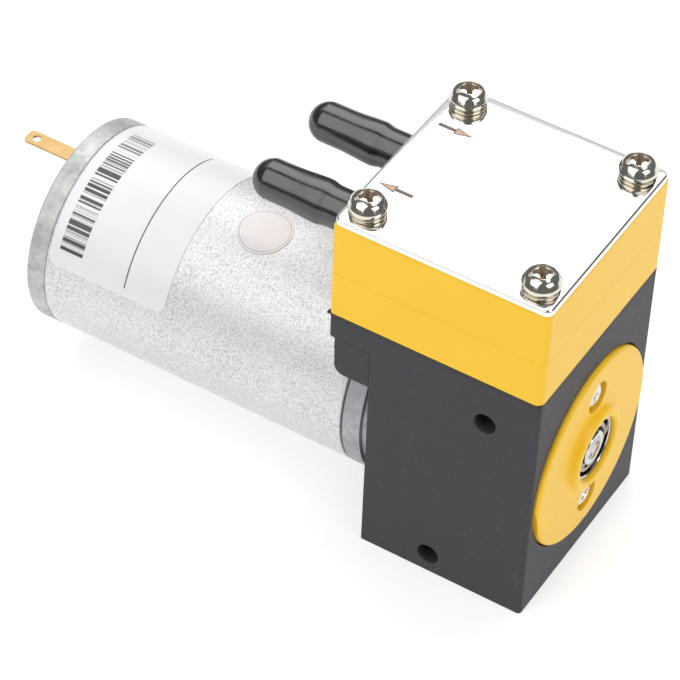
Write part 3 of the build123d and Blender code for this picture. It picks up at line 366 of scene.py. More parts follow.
class Desk:
    """The shader nodes of one material, and the wires between them."""

    def __init__(self, name: str) -> None:
        """Start a material with one shader and the object's own places."""
        self.material = bpy.data.materials.new(name)
        self.material.use_nodes = True
        self.tree = self.material.node_tree
        self.tree.nodes.clear()
        self.shader = self.tree.nodes.new("ShaderNodeBsdfPrincipled")
        output = self.tree.nodes.new("ShaderNodeOutputMaterial")
        self.tree.links.new(self.shader.outputs["BSDF"], output.inputs["Surface"])
        self.place = self.tree.nodes.new("ShaderNodeTexCoord").outputs["Object"]

    def feed(self, socket: bpy.types.NodeSocket, value: Signal) -> None:
        """Wire a socket to another, or set its value."""
        if isinstance(value, bpy.types.NodeSocket):
            self.tree.links.new(value, socket)
        else:
            socket.default_value = value

    def node(self, kind: str, **settings: object) -> bpy.types.Node:
        """Add one node with its settings."""
        node = self.tree.nodes.new("ShaderNode" + kind)
        for name, value in settings.items():
            setattr(node, name, value)
        return node

    def sum(self, operation: str, first: Signal, second: Signal = 0.0, clamp: bool = False) -> bpy.types.NodeSocket:
        """One step of arithmetic on signals."""
        node = self.node("Math", operation=operation, use_clamp=clamp)
        self.feed(node.inputs[0], first)
        self.feed(node.inputs[1], second)
        return node.outputs[0]

    def spread(self, signal: Signal, low: float, high: float, start: float, end: float) -> bpy.types.NodeSocket:
        """Map a range of a signal to another, and hold it at the ends."""
        node = self.node("MapRange")
        for socket, value in zip(node.inputs, (signal, low, high, start, end)):
            self.feed(socket, value)
        return node.outputs[0]

    def moved(self, centre: Place = (0, 0, 0), stretch: Place = (1, 1, 1), turn: Place = (0, 0, 0)) -> bpy.types.NodeSocket:
        """The object's places, centred on a place in millimetres, stretched and turned."""
        node = self.node("Mapping", vector_type="TEXTURE")
        self.feed(node.inputs["Vector"], self.place)
        node.inputs["Location"].default_value = mm(centre)
        node.inputs["Scale"].default_value = stretch
        node.inputs["Rotation"].default_value = [math.radians(angle) for angle in turn]
        return node.outputs[0]

    def noise(self, size: float, detail: float = 2.0, rough: float = 0.5, place: Optional[Signal] = None) -> bpy.types.NodeSocket:
        """Cloudy noise whose cells are of a size in millimetres."""
        node = self.node("TexNoise")
        self.feed(node.inputs["Vector"], self.place if place is None else place)
        node.inputs["Scale"].default_value = 1.0 / (size * MM)
        node.inputs["Detail"].default_value = detail
        node.inputs["Roughness"].default_value = rough
        return node.outputs["Fac"]

    def cells(self, size: float, feature: str = "F1", place: Optional[Signal] = None) -> bpy.types.Node:
        """Voronoi cells of a size in millimetres."""
        node = self.node("TexVoronoi", feature=feature)
        self.feed(node.inputs["Vector"], self.place if place is None else place)
        node.inputs["Scale"].default_value = 1.0 / (size * MM)
        return node

    def blend(self, share: Signal, first: Signal, second: Signal, mode: str = "MIX") -> bpy.types.NodeSocket:
        """Mix two colours by a share."""
        node = self.node("Mix", data_type="RGBA", blend_type=mode)
        self.feed(node.inputs["Factor"], share)
        self.feed(node.inputs[6], first)
        self.feed(node.inputs[7], second)
        return node.outputs[2]

    def bump(self, height: Signal, depth: float, strength: float = 1.0, under: Optional[Signal] = None) -> bpy.types.NodeSocket:
        """Relief of a depth in millimetres, on top of another relief."""
        node = self.node("Bump")
        node.inputs["Strength"].default_value = strength
        node.inputs["Distance"].default_value = depth * MM
        self.feed(node.inputs["Height"], height)
        if under is not None:
            self.feed(node.inputs["Normal"], under)
        return node.outputs[0]

    def axes(self) -> tuple[bpy.types.NodeSocket, ...]:
        """The object's places as three signals, in metres."""
        node = self.node("SeparateXYZ")
        self.feed(node.inputs[0], self.place)
        return tuple(node.outputs)

    def band(self, signal: Signal, middle: float, half: float, edge: float) -> bpy.types.NodeSocket:
        """One where a signal is within half of its middle, and zero outside a soft edge."""
        away = self.sum("ABSOLUTE", self.sum("SUBTRACT", signal, middle))
        return self.spread(away, half, half + edge, 1.0, 0.0)

    def finish(self, **sockets: Signal) -> bpy.types.Material:
        """Feed the shader's sockets, spaces in their names written as underscores."""
        for name, value in sockets.items():
            self.feed(self.shader.inputs[name.replace("_", " ")], value)
        return self.material


@dataclass(frozen=True)
class Finish:
    """What a piece's surface is made of. Each kind says how its material is built."""

    name: str

    def build(self) -> bpy.types.Material:
        """Make the material."""
        raise NotImplementedError

    def material(self) -> bpy.types.Material:
        """The material of this finish, made once, under a name that no loaded one has."""
        label = f"dressed_{self.name}"
        found = bpy.data.materials.get(label)
        if found is None:
            found = self.build()
            found.name = label
        return found


@dataclass(frozen=True)
class MouldedPlastic(Finish):
    """Satin moulded plastic with fine grain, slow waves and rubbed places."""

    colour: Colour = (80, 80, 84)
    rubbed: Colour = (120, 120, 124)
    roughness: float = 0.42
    grain: float = 0.22
    rub_share: float = 0.35
    gloss: float = 0.4

    def build(self) -> bpy.types.Material:
        """Make the material."""
        desk = Desk(self.name)
        grain = desk.noise(self.grain, 3.0, 0.6)
        waves = desk.noise(9.0, 2.0)
        specks = desk.noise(0.6, 4.0, 0.7)
        tone = desk.spread(waves, 0.3, 0.7, 0.0, 0.1)
        base = desk.blend(tone, paint(*self.colour), paint(*(c * 0.88 for c in self.colour)))
        scuffs = desk.noise(1.4, 5.0, 0.7, desk.moved(stretch=(1.0, 1.0, 3.0), turn=(20, 35, 10)))
        rub = desk.sum("MULTIPLY", desk.spread(scuffs, 0.62, 0.72, 0.0, 1.0), self.rub_share)
        base = desk.blend(rub, base, paint(*self.rubbed))
        rough = desk.sum("ADD", desk.spread(specks, 0.3, 0.7, -0.06, 0.06), self.roughness)
        relief = desk.bump(waves, 0.06)
        relief = desk.bump(grain, 0.012, 0.6, relief)
        return desk.finish(Base_Color=base, Roughness=rough, Normal=relief, Specular_IOR_Level=self.gloss)


@dataclass(frozen=True)
class MirrorSteel(Finish):
    """Polished sheet steel with hairline scratches and faint smears."""

    colour: Colour = (238, 236, 234)

    def build(self) -> bpy.types.Material:
        """Make the material."""
        desk = Desk(self.name)
        one = desk.noise(0.5, 3.0, 0.7, desk.moved(stretch=(24.0, 0.4, 1.0), turn=(0, 0, 24)))
        two = desk.noise(0.6, 3.0, 0.7, desk.moved(stretch=(30.0, 0.5, 1.0), turn=(0, 0, -37)))
        hairs = desk.sum("MAXIMUM", desk.spread(one, 0.6, 0.68, 0.0, 1.0), desk.spread(two, 0.62, 0.7, 0.0, 1.0))
        smears = desk.noise(7.0, 3.0, 0.6)
        rough = desk.sum("ADD", desk.spread(smears, 0.35, 0.7, 0.07, 0.12), desk.sum("MULTIPLY", hairs, 0.06))
        base = desk.blend(desk.spread(smears, 0.3, 0.7, 0.0, 0.25), paint(*self.colour), paint(222, 220, 219))
        relief = desk.bump(hairs, 0.002, 0.4)
        return desk.finish(Base_Color=base, Metallic=1.0, Roughness=rough, Normal=relief)


@dataclass(frozen=True)
class BrightMetal(Finish):
    """Plated or ground metal: fine turning or drawing lines and small marks."""

    colour: Colour = (214, 210, 200)
    darker: Colour = (150, 146, 138)
    roughness: float = 0.16
    spotting: float = 0.25
    line_size: float = 0.08
    line_depth: float = 0.002
    line_stretch: Place = (40.0, 40.0, 1.0)

    def build(self) -> bpy.types.Material:
        """Make the material."""
        desk = Desk(self.name)
        clouds = desk.noise(2.2, 4.0, 0.65)
        lines = desk.noise(self.line_size, 2.0, 0.6, desk.moved(stretch=self.line_stretch))
        marks = desk.noise(0.5, 5.0, 0.75)
        share = desk.spread(clouds, 0.4, 0.75, 0.0, self.spotting)
        base = desk.blend(share, paint(*self.colour), paint(*self.darker))
        rough = desk.sum("ADD", desk.spread(marks, 0.35, 0.7, -0.04, 0.08), self.roughness)
        relief = desk.bump(lines, self.line_depth)
        return desk.finish(Base_Color=base, Metallic=1.0, Roughness=rough, Normal=relief)


@dataclass(frozen=True)
class SandPaint(Finish):
    """Silver paint sprayed as a fine sandy texture, its grain darkened with painted shade."""

    colour: Colour = (229, 229, 232)
    shadow: Colour = (118, 116, 117)
    grain: float = 0.38

    def build(self) -> bpy.types.Material:
        """Make the material."""
        desk = Desk(self.name)
        sand = desk.noise(self.grain, 2.0, 0.55)
        fine = desk.noise(self.grain * 0.45, 2.0, 0.6)
        clouds = desk.noise(11.0, 3.0)
        # Painted shade: where the grain noise is high, the colour mixes towards the shadow colour, standing in for the
        # shade of the sandy relief; slow clouds vary how much.
        pits = desk.spread(desk.sum("ADD", sand, desk.sum("MULTIPLY", fine, 0.6)), 0.72, 0.98, 0.0, 1.0)
        share = desk.sum("MULTIPLY", pits, desk.spread(clouds, 0.3, 0.7, 0.36, 0.54))
        base = desk.blend(share, paint(*self.colour), paint(*self.shadow))
        rough = desk.spread(fine, 0.3, 0.7, 0.3, 0.5)
        relief = desk.bump(sand, 0.09, 1.0)
        relief = desk.bump(fine, 0.03, 0.8, relief)
        return desk.finish(Base_Color=base, Metallic=0.45, Roughness=rough, Normal=relief)


@dataclass(frozen=True)
class SpangledZinc(Finish):
    """Galvanised steel or die cast zinc: soft spangle, dull patches and fine pits."""

    colour: Colour = (186, 190, 186)
    darker: Colour = (146, 150, 147)
    spangle: float = 1.3
    roughness: float = 0.42
    metallic: float = 0.6

    def build(self) -> bpy.types.Material:
        """Make the material."""
        desk = Desk(self.name)
        flakes = desk.cells(self.spangle).outputs["Color"]
        tint = desk.node("RGBToBW")
        desk.feed(tint.inputs[0], flakes)
        clouds = desk.noise(3.0, 4.0, 0.65)
        share = desk.sum("ADD", desk.sum("MULTIPLY", tint.outputs[0], 0.35), desk.spread(clouds, 0.35, 0.7, 0.0, 0.6), True)
        base = desk.blend(share, paint(*self.colour), paint(*self.darker))
        rough = desk.sum("ADD", desk.spread(clouds, 0.3, 0.7, -0.08, 0.1), self.roughness)
        pits = desk.noise(0.25, 3.0, 0.6)
        relief = desk.bump(pits, 0.015, 0.7)
        return desk.finish(Base_Color=base, Metallic=self.metallic, Roughness=rough, Normal=relief)


@dataclass(frozen=True)
class SoftRubber(Finish):
    """Soft black rubber or vinyl, glossy in places, with faint bloom."""

    colour: Colour = (38, 38, 38)
    bloom: Colour = (86, 86, 84)
    roughness: float = 0.3
    gloss: float = 0.5

    def build(self) -> bpy.types.Material:
        """Make the material."""
        desk = Desk(self.name)
        clouds = desk.noise(4.0, 3.0, 0.6)
        dust = desk.noise(0.3, 4.0, 0.7)
        share = desk.sum("MULTIPLY", desk.spread(clouds, 0.4, 0.75, 0.0, 0.5), desk.spread(dust, 0.45, 0.7, 0.0, 1.0))
        base = desk.blend(share, paint(*self.colour), paint(*self.bloom))
        rough = desk.sum("ADD", desk.spread(clouds, 0.3, 0.7, -0.02, 0.05), self.roughness)
        relief = desk.bump(clouds, 0.05)
        relief = desk.bump(dust, 0.004, 0.4, relief)
        return desk.finish(Base_Color=base, Roughness=rough, Normal=relief, Specular_IOR_Level=self.gloss)


@dataclass(frozen=True)
class LabelFilm(Finish):
    """White label film with a strip of plain bars and one thin rule, wrapped round the shaft line."""

    shaft_height: float = 24.6
    bar_middle: float = 78.4
    bar_half: float = 2.35
    bar_start: float = -18.0
    bar_end: float = 63.0
    rule_place: float = 66.7
    rule_half: float = 0.1
    rule_start: float = -30.5
    rule_end: float = 68.1

    def build(self) -> bpy.types.Material:
        """Make the material."""
        desk = Desk(self.name)
        across, along, height = desk.axes()
        lift = desk.sum("SUBTRACT", height, self.shaft_height * MM)
        turn = desk.sum("MULTIPLY", desk.sum("ARCTAN2", desk.sum("MULTIPLY", across, -1.0), lift), 180 / math.pi)
        bold = self.stripes(desk, desk.sum("ADD", turn, 90.0), 0.95, 0.26, 1.0)
        fine = self.stripes(desk, desk.sum("ADD", turn, 400.0), 0.43, 0.5, 0.5)
        bars = desk.sum("MAXIMUM", bold, fine)
        span = (self.bar_end - self.bar_start) / 2
        bars = desk.sum("MULTIPLY", bars, desk.band(turn, self.bar_start + span, span, 0.2))
        bars = desk.sum("MULTIPLY", bars, desk.band(along, self.bar_middle * MM, self.bar_half * MM, 0.03 * MM))
        reach = (self.rule_end - self.rule_start) / 2
        rule = desk.band(along, self.rule_place * MM, self.rule_half * MM, 0.05 * MM)
        rule = desk.sum("MULTIPLY", rule, desk.band(turn, self.rule_start + reach, reach, 0.3))
        ink = desk.sum("MAXIMUM", bars, rule)
        paper = desk.blend(desk.spread(desk.noise(6.0, 3.0), 0.3, 0.7, 0.0, 0.5), paint(231, 231, 232), paint(224, 224, 227))
        base = desk.blend(desk.sum("MULTIPLY", ink, 0.93), paper, paint(34, 32, 32))
        fibres = desk.noise(0.12, 3.0, 0.6)
        rough = desk.spread(fibres, 0.3, 0.7, 0.3, 0.42)
        relief = desk.bump(fibres, 0.003, 0.4)
        return desk.finish(Base_Color=base, Roughness=rough, Normal=relief, Specular_IOR_Level=0.5)

    @staticmethod
    def stripes(desk: Desk, turn: Signal, pitch: float, share: float, ink: float) -> bpy.types.NodeSocket:
        """Stripes of one width side by side along a turn, some of them inked by chance.

        Args:
            desk: the material's shader nodes.
            turn: the place along the strip, in degrees.
            pitch: the width of a stripe, in degrees.
            share: the share of stripes that are inked.
            ink: how dark they are, from 0 to 1.

        Returns:
            The ink's share.
        """
        chance = desk.node("TexWhiteNoise", noise_dimensions="1D")
        desk.feed(chance.inputs["W"], desk.sum("FLOOR", desk.sum("DIVIDE", turn, pitch)))
        return desk.sum("MULTIPLY", desk.sum("LESS_THAN", chance.outputs["Value"], share), ink)


@dataclass(frozen=True)
class StickerFilm(Finish):
    """Pale round sticker with a fine ring printed near its rim."""

    centre_y: float = 47.5
    centre_angle: float = 8.5
    radius: float = 19.36
    shaft_height: float = 24.6
    ring: float = 4.55

    def build(self) -> bpy.types.Material:
        """Make the material."""
        desk = Desk(self.name)
        across, along, height = desk.axes()
        lift = desk.sum("SUBTRACT", height, self.shaft_height * MM)
        turn = desk.sum("ARCTAN2", desk.sum("MULTIPLY", across, -1.0), lift)
        arc = desk.sum("MULTIPLY", desk.sum("SUBTRACT", turn, math.radians(self.centre_angle)), self.radius * MM)
        far = desk.sum("SUBTRACT", along, self.centre_y * MM)
        squares = desk.sum("ADD", desk.sum("MULTIPLY", arc, arc), desk.sum("MULTIPLY", far, far))
        away = desk.sum("SQRT", squares)
        line = desk.band(away, self.ring * MM, 0.05 * MM, 0.06 * MM)
        film = desk.blend(desk.spread(desk.noise(2.5, 3.0), 0.3, 0.7, 0.0, 0.6), paint(224, 218, 219), paint(217, 209, 211))
        base = desk.blend(desk.sum("MULTIPLY", line, 0.6), film, paint(150, 138, 138))
        fibres = desk.noise(0.15, 3.0, 0.6)
        rough = desk.spread(fibres, 0.3, 0.7, 0.2, 0.3)
        relief = desk.bump(fibres, 0.004, 0.4)
        return desk.finish(Base_Color=base, Roughness=rough, Normal=relief, Specular_IOR_Level=0.8)


@dataclass(frozen=True)
class LayeredMetal(Finish):
    """Metal in fine layers or turns along the shaft, such as core sheets or wire."""

    colour: Colour = (150, 150, 152)
    groove: Colour = (60, 60, 62)
    pitch: float = 0.5
    roughness: float = 0.4
    direction: str = "Y"

    def build(self) -> bpy.types.Material:
        """Make the material."""
        desk = Desk(self.name)
        waves = desk.node("TexWave", bands_direction=self.direction)
        desk.feed(waves.inputs["Vector"], desk.place)
        waves.inputs["Scale"].default_value = 0.314 / (self.pitch * MM)
        waves.inputs["Distortion"].default_value = 0.6
        clouds = desk.noise(1.5, 4.0, 0.65)
        layers = desk.spread(waves.outputs["Fac"], 0.0, 0.4, 0.0, 1.0)
        dull = desk.sum("MULTIPLY", layers, desk.spread(clouds, 0.3, 0.7, 0.8, 1.0))
        base = desk.blend(dull, paint(*self.groove), paint(*self.colour))
        rough = desk.sum("ADD", desk.spread(clouds, 0.3, 0.7, -0.06, 0.1), self.roughness)
        return desk.finish(Base_Color=base, Metallic=0.9, Roughness=rough, Normal=desk.bump(waves.outputs["Fac"], 0.06))


@dataclass(frozen=True)
class Grainy(Finish):
    """Pressed, sintered or printed stuff: even grain with darker pores."""

    colour: Colour = (110, 108, 104)
    pore: Colour = (60, 58, 56)
    grain: float = 0.25
    metallic: float = 0.0
    roughness: float = 0.6

    def build(self) -> bpy.types.Material:
        """Make the material."""
        desk = Desk(self.name)
        cells = desk.cells(self.grain).outputs["Distance"]
        clouds = desk.noise(2.0, 4.0, 0.6)
        share = desk.sum("MULTIPLY", desk.spread(cells, 0.35, 0.75, 0.0, 1.0), desk.spread(clouds, 0.3, 0.7, 0.3, 0.9))
        base = desk.blend(share, paint(*self.colour), paint(*self.pore))
        rough = desk.sum("ADD", desk.spread(clouds, 0.3, 0.7, -0.08, 0.1), self.roughness)
        relief = desk.bump(cells, 0.02, 0.6)
        return desk.finish(Base_Color=base, Metallic=self.metallic, Roughness=rough, Normal=relief)


YELLOW = MouldedPlastic("yellow_moulded", (252, 201, 34), (255, 220, 110), 0.36, 0.25, 0.12, 0.36)
BLACK = MouldedPlastic("black_moulded", (61, 60, 65), (102, 102, 104), 0.5, 0.2, 0.45, 0.22)
DARK_PLASTIC = MouldedPlastic("dark_moulded", (46, 46, 48), (84, 84, 86), 0.5)
WHITE_PLASTIC = MouldedPlastic("natural_moulded", (222, 218, 206), (236, 234, 226), 0.4)
BROWN_BOARD = MouldedPlastic("brown_board", (104, 66, 40), (140, 98, 66), 0.5)
PLATE_STEEL = MirrorSteel("polished_plate")
CHROME = BrightMetal("plated_screw", (226, 221, 211), (150, 140, 124), 0.1, 0.25, 0.05, 0.001)
# Brownish, barely metallic finish for the screws' cross recesses: painted shade standing in for the dark recess of the
# chrome.
RECESS_PAINTED_SHADE = Grainy("screw_recess_painted_shade", (176, 158, 134), (112, 96, 78), 0.2, 0.25, 0.42)
SPRING_STEEL = BrightMetal("spring_washer_steel", (196, 186, 166), (98, 88, 76), 0.22, 0.5, 0.06, 0.003)
BEARING_STEEL = BrightMetal("bearing_steel", (206, 206, 206), (150, 150, 152), 0.14, 0.2, 0.06, 0.001, (1.0, 40.0, 1.0))
CAGE_STEEL = BrightMetal("cage_steel", (176, 172, 166), (112, 108, 104), 0.24, 0.4, 0.08, 0.003)
SHAFT_STEEL = BrightMetal("shaft_steel", (196, 196, 196), (140, 140, 142), 0.2, 0.25, 0.06, 0.002, (40.0, 1.0, 40.0))
TURNED_STEEL = BrightMetal("turned_steel", (176, 176, 178), (120, 120, 124), 0.3, 0.4, 0.1, 0.005, (40.0, 1.0, 40.0))
BLACK_STEEL = BrightMetal("blackened_steel", (58, 56, 56), (34, 34, 36), 0.34, 0.5, 0.08, 0.003)
COUNTERWEIGHT = BrightMetal("counterweight_metal", (168, 160, 148), (110, 104, 98), 0.36, 0.5, 0.12, 0.005)
ALUMINIUM = Grainy("rod_aluminium", (190, 192, 196), (150, 152, 156), 0.4, 0.9, 0.44)
BRASS = BrightMetal("tab_brass", (188, 158, 108), (158, 126, 80), 0.26, 0.5, 0.1, 0.004, (1.0, 30.0, 1.0))
COPPER = BrightMetal("commutator_copper", (204, 128, 88), (140, 80, 54), 0.28, 0.5, 0.08, 0.004, (40.0, 1.0, 40.0))
ARM_BRONZE = BrightMetal("arm_bronze", (210, 160, 96), (150, 108, 62), 0.3, 0.4, 0.1, 0.004)
WIRE = LayeredMetal("enamelled_wire", (184, 92, 44), (74, 30, 14), 0.55, 0.3, "Y")
CORE = LayeredMetal("core_sheets", (128, 128, 132), (44, 44, 48), 0.5, 0.42, "Y")
ZINC = SpangledZinc("zinc_rear", (204, 206, 203), (156, 160, 158), 0.6, 0.44, 0.5)
BRACKET_ZINC = SpangledZinc("zinc_bracket", (182, 182, 186), (140, 140, 146), 0.6, 0.5, 0.6)
MOTOR_PAINT = SandPaint("silver_sand_paint")
CAP_RUBBER = SoftRubber("cap_rubber", (28, 28, 27), (72, 72, 69), 0.19, 1.0)
SEAL_RUBBER = SoftRubber("seal_rubber", (30, 30, 32), (64, 64, 64), 0.45)
DIAPHRAGM_RUBBER = SoftRubber("diaphragm_rubber", (34, 34, 36), (70, 70, 72), 0.5)
VALVE_RUBBER = SoftRubber("valve_rubber", (40, 40, 42), (74, 74, 74), 0.5)
LABEL = LabelFilm("label_film")
STICKER = StickerFilm("sticker_film")
BRONZE = Grainy("sintered_bronze", (176, 132, 84), (108, 76, 44), 0.2, 0.85, 0.5)
FERRITE = Grainy("magnet_ferrite", (72, 72, 74), (40, 40, 42), 0.35, 0.1, 0.66)
CARBON = Grainy("brush_carbon", (48, 46, 46), (24, 24, 24), 0.15, 0.3, 0.5)
ETCHED = Grainy("etched_head", (204, 172, 148), (168, 138, 118), 0.12, 0.0, 0.5)
ETCHED_DARK = Grainy("etched_outline", (120, 104, 92), (92, 78, 66), 0.12, 0.0, 0.5)


# Sub-assemblies


@dataclass
class Assembly:
    """A group of pieces that are built and dressed together."""

    label: str = "assembly"
    made: list[str] = field(default_factory=list)

    def fit(
        self,
        piece: bpy.types.Object,
        finish: Finish,
        body: Body,
        nodes: Sequence[str] = (),
        slot: Optional[str] = None,
    ) -> bpy.types.Object:
        """Dress a piece, let it ride on a body and stand for its solids.

        Args:
            piece: the finished piece.
            finish: its finish.
            body: the body that it rides on.
            nodes: the solids that it stands for.
            slot: a slot name for its finish, not used.

        Returns:
            The same piece.
        """
        if not piece.data.materials:
            piece.data.materials.append(finish.material())
        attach(piece, body.value)
        if nodes:
            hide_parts(*nodes)
        self.made.append(piece.name)
        return piece

    def build(self) -> None:
        """Build and dress the pieces."""
        raise NotImplementedError

    def report(self) -> None:
        """Say which pieces were built."""
        for name in self.made:
            log.info("%s: %s", self.label, name)


@dataclass
class CrankHousing(Assembly):
    """Black moulded housing with its chamber, neck, flange, motor saddle and cover posts."""

    label: str = "crank housing"
    half_width: float = 20.0
    front: float = -16.0
    rear: float = 16.0
    flange_rear: float = 24.0
    flange_low: float = 45.2
    height: float = 50.0
    corner: float = 0.7
    saddle_rear: float = 23.0
    saddle_low: float = 37.0
    saddle_half: float = 19.7
    motor_cut: float = 19.65
    shaft_height: float = 24.6
    chamber_radius: float = 16.5
    chamber_rear: float = 11.0
    seat_radius: float = 18.75
    seat_rear: float = -13.8
    neck_half: float = 11.5
    neck_side: float = 9.3
    head_y: float = 4.0
    screw_half: float = 16.0
    side_holes: tuple[Place, ...] = ((-6.2, 41.3), (2.6, 4.1))
    hole_radius: float = 2.0
    hole_depth: float = 8.0

    def build(self) -> None:
        """Build and dress the housing."""
        housing = self.outer_form()
        cut(housing, *self.hollows())
        join(housing, *self.cover_posts())
        cut(housing, *self.small_holes())
        soften(housing, 0.22, clamp=False)
        self.fit(housing, BLACK, Body.FRAME, ["crank_housing"], "housing_plastic")
        tab = block("rubber_tab", (-self.half_width + 0.05, 23.9, self.height + 0.02), (-19.0, 24.55, self.height + 0.48))
        soften(tab, 0.2)
        self.fit(tab, DIAPHRAGM_RUBBER, Body.FRAME, slot="diaphragm_rubber")

    def outer_form(self) -> bpy.types.Object:
        """The block with its flange pulled to the rear, and the saddle under it."""
        form = block("housing", (-self.half_width, self.front, 0), (self.half_width, self.rear, self.height))
        slice_at(form, (0, 0, self.flange_low), (0, 0, 1))
        pull_faces(
            form,
            (0, self.flange_rear - self.rear, 0),
            lambda middle, facing: facing.y > 0.9 and middle.z > self.flange_low,
        )
        round_edges(
            form,
            self.corner,
            lambda middle, way: abs(way.z) > 0.9 and (middle.y < self.front + 0.1 or middle.y > self.flange_rear - 0.1),
            8,
        )
        saddle = block(
            "saddle",
            (-self.saddle_half, self.rear - 1, self.saddle_low),
            (self.saddle_half, self.saddle_rear, self.flange_low + 1),
        )
        round_edges(
            saddle,
            2.0,
            lambda middle, way: abs(way.x) > 0.9 and middle.y > self.saddle_rear - 0.1 and middle.z < self.saddle_low + 0.1,
            6,
        )
        join(form, saddle)
        join(form, *self.saddle_ridges())
        return form

    def saddle_ridges(self) -> list[bpy.types.Object]:
        """Small moulding ridges across the rear of each saddle cheek."""
        ridges = []
        for side in (-1, 1):
            for height, radius in ((44.3, 0.22), (43.6, 0.22), (42.5, 0.42)):
                start = (side * 15.2, self.saddle_rear - 0.05, height)
                end = (side * (self.saddle_half - 0.3), self.saddle_rear - 0.05, height)
                ridges.append(rod("ridge", start, end, radius, sides=12))
        return ridges

    def hollows(self) -> list[bpy.types.Object]:
        """Bodies of the large hollows: motor, chamber, cover seat, bracket boss, neck and flare."""
        y, z = self.head_y, self.shaft_height
        neck = block("neck", (-self.neck_half, y - self.neck_side, 36.0), (self.neck_half, y + self.neck_side, self.height + 1))
        round_edges(neck, self.neck_side - 0.05, lambda middle, way: abs(way.z) > 0.9, 16)
        groove = turned(
            "groove",
            [(-0.75, 14.25), (-0.75, 15.75), (1, 15.75), (1, 14.25), (-0.75, 14.25)],
            (0, y, self.height),
            Line.UPRIGHT,
        )
        return [
            rod("motor_room", (0, self.rear, z), (0, self.flange_rear + 1, z), self.motor_cut, sides=128),
            rod("chamber", (0, self.front - 1, z), (0, self.chamber_rear, z), self.chamber_radius, sides=128),
            rod("seat", (0, self.front - 1, z), (0, self.seat_rear, z), self.seat_radius, sides=128),
            rod("boss_room", (0, self.chamber_rear - 1, z), (0, self.rear + 1, z), 6.55),
            neck,
            rod("flare", (0, y, self.height - 3.6), (0, y, self.height + 0.5), self.neck_side, 14.083, sides=96),
            groove,
        ]

    def cover_posts(self) -> list[bpy.types.Object]:
        """Posts for the cover screws, grown from the chamber wall."""
        posts = []
        for side in (-1, 1):
            z = self.shaft_height + side * 12.0
            post = rod("post", (0, -12.5, z), (0, -7.5, z), 3.4, sides=40)
            low, high = sorted((z, self.shaft_height + side * (self.chamber_radius + 0.4)))
            join(post, block("post_root", (-3.4, -12.5, low), (3.4, -7.5, high)))
            posts.append(post)
        return posts

    def small_holes(self) -> list[bpy.types.Object]:
        """Bodies of the screw holes and the blind side holes."""
        holes = []
        for x in (-self.screw_half, self.screw_half):
            for y in (self.head_y - self.screw_half, self.head_y + self.screw_half):
                holes.append(rod("screw_hole", (x, y, 41), (x, y, self.height + 1), 1.8, sides=32))
        for x in (-12.5, 12.5):
            place = (x, self.chamber_rear - 1, self.shaft_height)
            holes.append(rod("motor_screw_hole", place, (x, self.rear + 1, self.shaft_height), 1.55, sides=32))
        for side in (-1, 1):
            post_z = self.shaft_height + side * 12.0
            holes.append(rod("post_hole", (0, -13, post_z), (0, -7, post_z), 1.55, sides=32))
            for y, z in self.side_holes:
                start = (side * (self.half_width + 1), y, z)
                floor = (side * (self.half_width - self.hole_depth), y, z)
                holes.append(rod("side_hole", start, floor, self.hole_radius, sides=48))
        return holes


